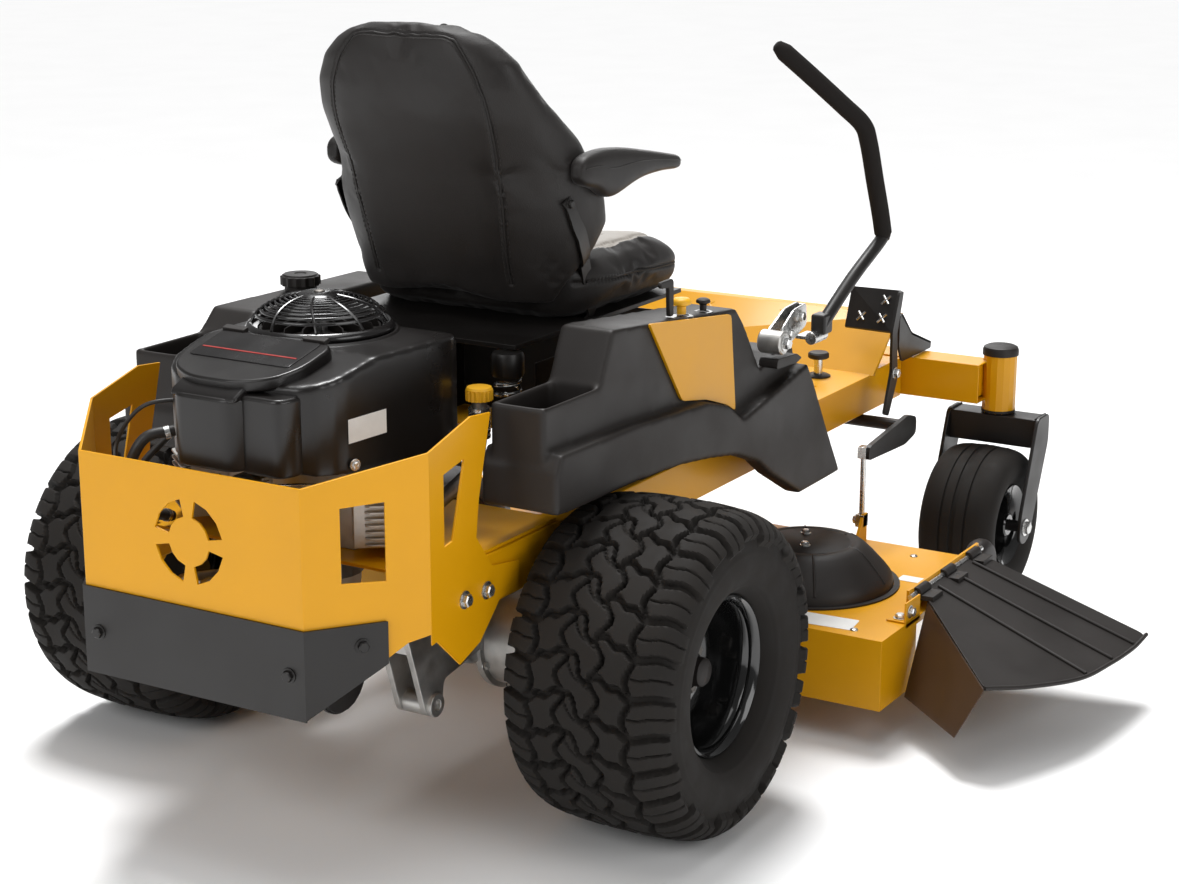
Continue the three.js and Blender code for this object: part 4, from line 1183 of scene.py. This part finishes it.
def make_engine():
    dress("engine_block", ALUMINIUM, bevel=2.0)
    dress("crank_pulley", STEEL, bevel=0.8)
    mould("engine_shroud", SHROUD, voxel=4.0, rounds=16)
    make_air_cleaner()
    make_blower_screen()
    make_cylinder_fins()
    make_engine_trim()
    make_oil_filler()
    make_hoses()
    make_muffler_trim()


def make_blower_screen():
    """Domed grille: concentric rings on radial ribs, round a solid hub, in a raised outer ring."""
    body = "crankshaft"
    x, y = CRANK.x, CRANK.y

    def dome(radius):
        return 838 + 50 * math.sqrt(max(0.0, 1 - (radius / 113) ** 2))

    rings = []
    for radius in range(40, 112, 8):
        rings.append(lathe([(radius - 1.5, dome(radius) - 3.5), (radius + 1.5, dome(radius) - 3.5),
                            (radius + 1.5, dome(radius + 1.5) - 0.4), (radius + 0.8, dome(radius)),
                            (radius - 0.8, dome(radius) + 0.2), (radius - 1.5, dome(radius - 1.5) - 0.2),
                            (radius - 1.5, dome(radius) - 3.5)], (x, y, 0), sides=96))
    ribs = []
    for angle in spread(9):
        route = []
        for radius in np.linspace(30, 112, 12):
            lean = angle + 0.25 * (radius / 112) ** 1.5
            route.append((x + radius * math.cos(lean), y + radius * math.sin(lean), dome(radius) - 1.2))
        ribs.append(sweep(route, 2.6, 8))
    hub = lathe([(0, 879), (34, 877), (36, 880), (35, 885), (30, 888.5), (0, 889.5)], (x, y, 0), sides=48)
    notch = lathe([(0, 889), (9, 889), (9, 891), (7, 892), (0, 892)], (x, y, 0), sides=6)
    new_piece("blower_screen_grille", merge(*rings, *ribs), GRILLE, body, ["blower_screen"])
    new_piece("blower_screen_hub", hub, GRILLE, body)
    new_piece("blower_screen_nut", notch, STEEL, body)
    # The fan is seen dark between the ribs.
    vanes = [cylinder(98, 831, 833, (x, y, 0), sides=64)]
    for angle in spread(18):
        vane = prism([(34, 833), (96, 833), (92, 845), (40, 852)], "y", -1.2, 1.2)
        vanes.append(moved(vane, (x, y, 0), Matrix.Rotation(angle, 3, "Z")))
    new_piece("blower_fan", merge(*vanes), PLASTIC, body)
    rim = lathe([(101, 829.5), (119, 829.5), (121, 832), (121, 836), (117, 841), (113.5, 842.5), (110, 841),
                 (108, 836), (101, 834), (101, 829.5)], (x, y, 0), sides=128)
    new_piece("blower_screen_rim", rim, GRILLE, body)
    collar = lathe([(122.5, 808), (132, 812), (131, 824), (126, 829), (122.5, 829), (122.5, 808)],
                   (x, y, 0), sides=128)
    new_piece("shroud_collar", collar, SHROUD, "chassis")


def make_cylinder_fins():
    """Cooling fins and valve covers on the two heads that stand out at the sides."""
    for name, side in LEFT_AND_RIGHT:
        fins = []
        turn = Matrix.Rotation(math.radians(side * 52), 3, "Z")
        for k in range(9):
            z = 532 + 10.5 * k
            fin = prism(rounded([(18, -80), (106, -80), (106, 80), (18, 80)], 10), "z", z, z + 3)
            fins.append(moved(fin, (-330, side * 120 - 20, 0), turn))
        new_piece(f"cylinder_fins_{name}", merge(*fins), ALUMINIUM, "chassis", bevel=0.6)
        cover = prism(rounded([(112, -62), (142, -58), (142, 58), (112, 62)], 12), "z", 536, 612)
        new_piece(f"valve_cover_{name}", moved(cover, (-330, side * 120 - 20, 0), turn), ALUMINIUM,
                  "chassis", bevel=4)


def make_engine_trim():
    """Blank label and screws."""
    screws = [bolt((-396, -198, 668), (-0.35, -0.94, 0), 12, 5), bolt((-140, -215.5, 662), (0, -1, 0), 12, 5)]
    new_piece("shroud_screws", merge(*screws), ZINC, "chassis")
    run = Vector((-430, -190, 0)) - Vector((-150, -215, 0))
    along = run.normalized()
    out = Vector((along.y, -along.x, 0))
    if out.y > 0:
        out.negate()
    start = Vector((-404, -192.4, 702)) + out * 0.8
    size, height = 88, 38
    corners = [start, start + (-along) * size, start + (-along) * size + Vector((0, 0, height)),
               start + Vector((0, 0, height))]
    label = ([tuple(c) for c in corners] + [tuple(c + out * 0.5) for c in corners], SLAB_FACES)
    new_piece("engine_label_blank", label, WHITE_PLASTIC, "chassis")


def make_air_cleaner():
    """A lid with a round rear end, an inset panel and two clips, over a deep intake box."""
    turn = Matrix.Rotation(-math.atan2(840 - 811, -358 + 478), 3, "Y")
    centre = (-414, -8, 826)
    plan = [(-94, -50), (-94, 44), (-66, 94), (-20, 112), (66, 112), (66, -126), (-20, -126), (-66, -104)]
    lid = prism(rounded(plan, 30, 6), "z", -22, 0)
    new_piece("air_cleaner_lid", moved(lid, centre, turn), SHROUD, "chassis", ["air_cleaner_cover"], bevel=5)
    panel = prism(rounded([(-30, -104), (58, -104), (58, 92), (-30, 92)], 8), "z", 0, 1.6)
    stripe = prism([(-2, -98), (1, -98), (1, 86), (-2, 86)], "z", 1.6, 2.2)
    new_piece("air_cleaner_lid_panel", moved(panel, centre, turn), GRILLE, "chassis", bevel=0.7)
    new_piece("air_cleaner_lid_stripe", moved(stripe, centre, turn), RED_LINE, "chassis")
    clips = merge(*[prism(rounded([(60, y - 22), (74, y - 22), (74, y + 22), (60, y + 22)], 3), "z", -3, 5)
                    for y in (-86, 74)])
    new_piece("air_cleaner_clips", moved(clips, centre, turn), PLASTIC, "chassis", bevel=1.5)
    nose = prism(rounded([(-526, -58), (-526, 46), (-496, 66), (-440, 66), (-440, -78), (-496, -78)], 22,
                         6), "z", 664, 780)
    cheek = prism(rounded([(-506, -138), (-506, -60), (-440, -60), (-440, -150), (-480, -150)], 16, 5), "z",
                  660, 784)
    slope = prism([(-524, 774), (-518, 784), (-470, 806), (-470, 774)], "y", -70, 58)
    new_piece("air_intake_nose", nose, SHROUD, "chassis", bevel=7)
    new_piece("air_intake_cheek", cheek, SHROUD, "chassis", bevel=7)
    new_piece("air_intake_slope", slope, SHROUD, "chassis", bevel=6)


OIL_CAP = (-118, -243)


def make_oil_filler():
    x, y = OIL_CAP
    cap = prism(knurled(OIL_CAP, 23, 20.8, 18), "z", 717, 734)
    top = lathe([(0, 733), (21, 733), (22, 735), (20, 739), (0, 740)], (x, y, 0), sides=36)
    new_piece("oil_cap_ribbed", cap, YELLOW_PLASTIC, "oil_cap", ["oil_cap"], bevel=0.8)
    new_piece("oil_cap_top", top, YELLOW_PLASTIC, "oil_cap")
    pipe = sweep(smooth_route([(x, y, 715.5), (x, y, 660), (x - 10, y + 11, 600), (x - 42, y + 53, 548)],
                              8), 13, 24)
    coils = [lathe([(13, z), (18, z), (18.5, z + 3), (18, z + 6), (13, z + 6), (13, z)], (x, y, 0), sides=32)
             for z in range(654, 700, 9)]
    new_piece("oil_filler_tube", pipe, STEEL, "chassis")
    new_piece("oil_filler_rings", merge(*coils), ZINC, "chassis")


def make_hoses():
    """Hoses and cables along the left of the engine, held at both ends."""
    routes = {
        "breather_hose": ([(-470, 96, 700), (-505, 128, 690), (-520, 150, 640), (-500, 170, 580),
                           (-430, 190, 540), (-380, 190, 522)], 9),
        "fuel_hose": ([(-330, 148, 690), (-340, 190, 670), (-400, 230, 610), (-420, 240, 560),
                       (-380, 220, 512)], 6),
        "throttle_cable": ([(-420, 100, 740), (-470, 160, 730), (-470, 220, 660), (-420, 250, 590),
                            (-330, 250, 520)], 3.5),
    }
    for name, (points, radius) in routes.items():
        new_piece(name, sweep(smooth_route(points, 10), radius, 16), HOSE, "chassis")
    clamps = []
    for name, (points, radius) in list(routes.items())[:2]:
        for a, b in ((points[0], points[1]), (points[-1], points[-2])):
            a, b = Vector(a), Vector(b)
            spot, direction = a + (b - a) * 0.25, (b - a).normalized()
            ring = lathe([(radius, -4), (radius + 1.8, -4), (radius + 1.8, 4), (radius, 4), (radius, -4)],
                         sides=24)
            clamps.append(moved(ring, spot, turn_to(direction)))
    new_piece("hose_clamps", merge(*clamps), ZINC, "chassis")
    # Carburettor linkage under the shroud.
    links = [
        sweep(smooth_route([(-455, -60, 628), (-430, -120, 632), (-380, -175, 628), (-300, -200, 622)], 8),
              3, 10),
        sweep(smooth_route([(-470, 10, 640), (-462, -60, 616), (-440, -110, 604)], 8), 2.2, 10),
    ]
    new_piece("carburettor_linkage", merge(*links), ZINC, "chassis")
    carburettor = merge(
        lathe([(0, -40), (22, -40), (26, -34), (24, -8), (30, 0), (30, 22), (22, 30), (0, 30)],
              (-452, -18, 610), "x", 32),
        block(-468, -424, -46, 10, 566, 606), block(-430, -392, -34, 0, 584, 628),
        lathe([(0, 540), (17, 540), (19, 544), (19, 566), (0, 566)], (-448, -18, 0), sides=32))
    new_piece("carburettor", carburettor, ALUMINIUM, "chassis", bevel=2.0)
    bracket = merge(block(-500, -496, -90, 70, 600, 646), block(-500, -470, -90, -86, 600, 646),
                    block(-500, -470, 66, 70, 600, 646))
    new_piece("control_bracket", bracket, ZINC, "chassis", bevel=1.0)


def make_muffler_trim():
    seams = [tube(56, 59, y - 3, y + 3, (-470, 0, 350), "y", 48)
             for y in (-214, 0, 214)]
    new_piece("muffler_seams", merge(*seams), BLACK_PAINT, "chassis")


# ---------- mower deck ----------

SPINDLES = {"right": (722, -456), "centre": (782, 0), "left": (722, 456)}


def make_deck():
    dress("deck_shell", YELLOW, bevel=2.2, segments=3)
    for name in SPINDLES:
        dress(f"spindle_{name}", STEEL, bevel=0.8)
    for name in SPINDLES:
        dress(f"blade_{name}", STEEL, bevel=0.6)
    for name, side in LEFT_AND_RIGHT:
        make_belt_cover(name, side)
        roller = [(8, 24), (20, 24), (23, 20), (30, 19), (44, 21), (52, 18), (57, 12), (59.6, 5), (59.6, 0)]
        loop = roller + [(r, -w) for r, w in reversed(roller[:-1])]
        loop.append(loop[0])
        new_piece(f"roller_wheel_{name}", lathe(loop, (1078, side * 652, 164), "y", 56), PLASTIC,
                  f"anti_scalp_roller_{name}", [f"anti_scalp_roller_{name}"])
        arm_y = 612 if side > 0 else 622
        pin = moved(cylinder(7.6, 0, 66, sides=20), (1078, arm_y + 3, 164),
                    turn_to((0, 1, 0)))
        nuts = merge(bolt((1078, arm_y + 62, 164), (0, 1, 0), 16, 7),
                     bolt((1078, arm_y - 3, 164), (0, -1, 0), 16, 7))
        new_piece(f"roller_pin_{name}", on_side(merge(pin, nuts), side), ZINC, "deck")
    make_deck_hardware()
    make_hangers()


def make_belt_cover(name, side):
    x, y = 712, side * 446
    skin = [(0, 286), (70, 285.5), (96, 282), (106, 276), (122, 262), (146, 236), (155, 225), (158.5, 216),
            (160, 208)]
    outer = [(164, 208), (163, 217), (159.5, 228), (150, 240), (126, 266), (111, 280), (100, 286),
             (90, 288.5), (86, 287), (78, 287), (74, 289.5), (0, 290)]
    new_piece(f"belt_cover_dome_{name}", lathe(skin + outer, (x, y, 0), sides=72), PLASTIC, "deck",
              [f"belt_cover_{name}"])
    ribs = []
    for k in range(6):
        angle = 2 * math.pi * (k + 0.5) / 6
        route = [(x + r * math.cos(angle), y + r * math.sin(angle), z) for r, z in
                 ((84, 286.5), (100, 285), (112, 278), (128, 263.5), (150, 239), (160, 226))]
        ribs.append(sweep(route, 2.6, 8))
    new_piece(f"belt_cover_ribs_{name}", merge(*ribs), PLASTIC, "deck")
    knobs = []
    for angle in (0.6, 3.4):
        knobs.append(bolt((x + 40 * math.cos(angle), y + 40 * math.sin(angle), 290), (0, 0, 1), 13, 6))
    new_piece(f"belt_cover_screws_{name}", merge(*knobs), ZINC, "deck")
    flange = tube(164.6, 176, 206.6, 209.5, (x, y, 0), sides=72)
    new_piece(f"belt_cover_flange_{name}", flange, PLASTIC, "deck")


def make_deck_hardware():
    bolts = []
    x, y = SPINDLES["centre"]
    for k in range(4):
        angle = math.pi / 4 + math.pi * k / 2
        bolts.append(bolt((x + 52 * math.cos(angle), y + 52 * math.sin(angle), 216), across=13, height=7))
    for px, py in ((500, -640), (500, 560), (960, -560), (960, 560), (560, 0), (560, -200), (560, 200),
                   (930, 180), (930, -180)):
        bolts.append(dome_bolt((px, py, 206.2), (0, 0, 1), 8))
    new_piece("deck_bolts", merge(*bolts), ZINC, "deck")
    # Spindle housing at the centre, in view between the covers.
    housing = lathe([(27, 206.5), (80, 206.5), (80, 210), (52, 214.5), (27, 214.5), (27, 206.5)],
                    (782, 0, 0), sides=48)
    new_piece("centre_spindle_flange", housing, STEEL, "deck")
    hinge_rod = moved(cylinder(5, 0, 352, sides=20), (636, -690, 237),
                      turn_to((1, 0, 0)))
    new_piece("chute_hinge_rod", hinge_rod, ZINC, "deck")
    bracket = merge(block(575, 640, -709, -705, 196, 246), block(575, 640, -709, -670, 206.4, 210))
    new_piece("chute_bracket", bracket, YELLOW, "deck", bevel=1.0)
    new_piece("chute_bracket_bolts", merge(bolt((592, -709, 226), (0, -1, 0), 16, 8),
                                           bolt((592, -690, 210), across=16)),
              ZINC, "deck")
    label = block(528, 600, -330, -262, 206.2, 206.7)
    new_piece("deck_label_blank", label, WHITE_PLASTIC, "deck")


def make_deck_labels():
    """Blank strips: a label on the rear of the deck top and a pale band near the chute hinge."""
    label = prism(rounded([(545, -520), (551, -628), (494, -636), (486, -534)], 4), "z", 206.2, 206.8)
    band = prism(rounded([(806, -590), (838, -590), (838, -676), (806, -676)], 3), "z", 206.2, 206.8)
    new_piece("deck_label_blank", merge(label, band), WHITE_PLASTIC, "deck")


def make_hangers():
    """Rods that hang the deck from the lift arms, with their clevises and nuts."""
    rods, fittings = [], []
    for side in (1, -1):
        y = side * 424
        rods.append(sweep([(1006, y, 246), (1006, y, 396)], 6, 14))
        fittings.append(block(994, 1018, y - 9, y + 9, 236, 262))
        fittings.append(bolt((1006, y - side * 9, 248), (0, -side, 0), 16, 7))
        fittings.append(block(995, 1017, y - 9, y + 9, 380, 404))
        rods.append(sweep([(497, side * 315, 246), (470, side * 258, 400)], 5, 14))
    new_piece("deck_hanger_rods", merge(*rods), ZINC, "deck")
    new_piece("deck_hanger_clevises", merge(*fittings), ZINC, "deck", bevel=1.2)


HINGE = {"y": -690.0, "z": 237.0, "slope": math.tan(math.radians(18))}


def make_chute():
    slope, hinge_y, hinge_z = HINGE["slope"], HINGE["y"], HINGE["z"]

    def on_plate(x, y, lift=0.0):
        return (x, y, hinge_z + slope * (y - hinge_y) + lift)

    edge_points = [(690, hinge_y - 1), (447, -914), (537, -964), (661, -1013), (778, -1030), (885, -1038),
                   (972, -1036), (962, hinge_y - 1)]
    outline = rounded(edge_points, 18, 4)
    flat, faces = prism(outline, "z", 0, -4)
    new_piece("chute_plate", ([on_plate(*point) for point in flat], faces), PLASTIC, "discharge_chute",
              ["discharge_chute"], bevel=1.2)
    near = [(667, hinge_y - 22, 224), (447, -913, 161), (429, -868, 69), (567, hinge_y - 24, 69)]
    far = [(x + 5, y, z - 1) for x, y, z in near]
    wall = (near + far, SLAB_FACES)
    new_piece("chute_rear_wall", wall, SMOKED, "discharge_chute", bevel=1.0)
    ribs = []
    for start, end in (((735, -706), (690, -1014)), ((820, -706), (800, -1026)), ((905, -706), (905, -1032))):
        steps = 10
        route = [on_plate(start[0] + (end[0] - start[0]) * k / steps,
                          start[1] + (end[1] - start[1]) * k / steps, 1.5)
                 for k in range(steps + 1)]
        ribs.append(sweep(route, 4.2, 10))
    lip = [on_plate(x, y, 0.5) for x, y in edge_points[1:7]]
    ribs.append(sweep(smooth_route(lip, 8), 4.0, 10))
    new_piece("chute_ribs", merge(*ribs), PLASTIC, "discharge_chute")
    knuckles = []
    for x0, x1 in ((664, 712), (790, 838), (916, 964)):
        knuckles.append(moved(tube(5.6, 11, 0, x1 - x0, sides=28),
                              (x0, hinge_y, hinge_z), turn_to((1, 0, 0))))
        knuckles.append(block(x0, x1, hinge_y - 34, hinge_y - 8, hinge_z - 12, hinge_z - 2))
    new_piece("chute_hinge_knuckles", merge(*knuckles), PLASTIC, "discharge_chute", bevel=1.0)


# ---------- consoles ----------

FUEL_CAP = (210, 372)


def make_consoles():
    for name in ("left", "right"):
        mould(f"fender_{name}", PLASTIC, voxel=4.5, rounds=8)
    x, y = FUEL_CAP
    grip = prism(knurled(FUEL_CAP, 38, 34, 14), "z", 790, 808)
    top = lathe([(0, 806), (30, 806), (33, 808), (31, 811), (12, 811.5), (10, 809.5), (0, 809.5)],
                (x, y, 0), sides=40)
    base = cylinder(30, 780.5, 790, (x, y, 0), sides=40)
    new_piece("fuel_cap_grip", grip, PLASTIC, "fuel_cap", ["fuel_cap"], bevel=1.5)
    new_piece("fuel_cap_top", top, PLASTIC, "fuel_cap")
    new_piece("fuel_cap_neck", base, PLASTIC, "fuel_cap")


make_camera()
make_studio()
make_floor()
make_frame()
for side_name, side_sign in LEFT_AND_RIGHT:
    make_transaxle(side_name, side_sign)
make_axle_ends()
make_wheels()
make_casters()
seat_back = make_seat_back()
make_seat_straps(seat_back)
make_cushion()
make_armrests()
make_seat_hardware()
make_levers()
make_switches()
make_pedal()
make_engine()
make_deck()
make_deck_labels()
make_chute()
make_consoles()
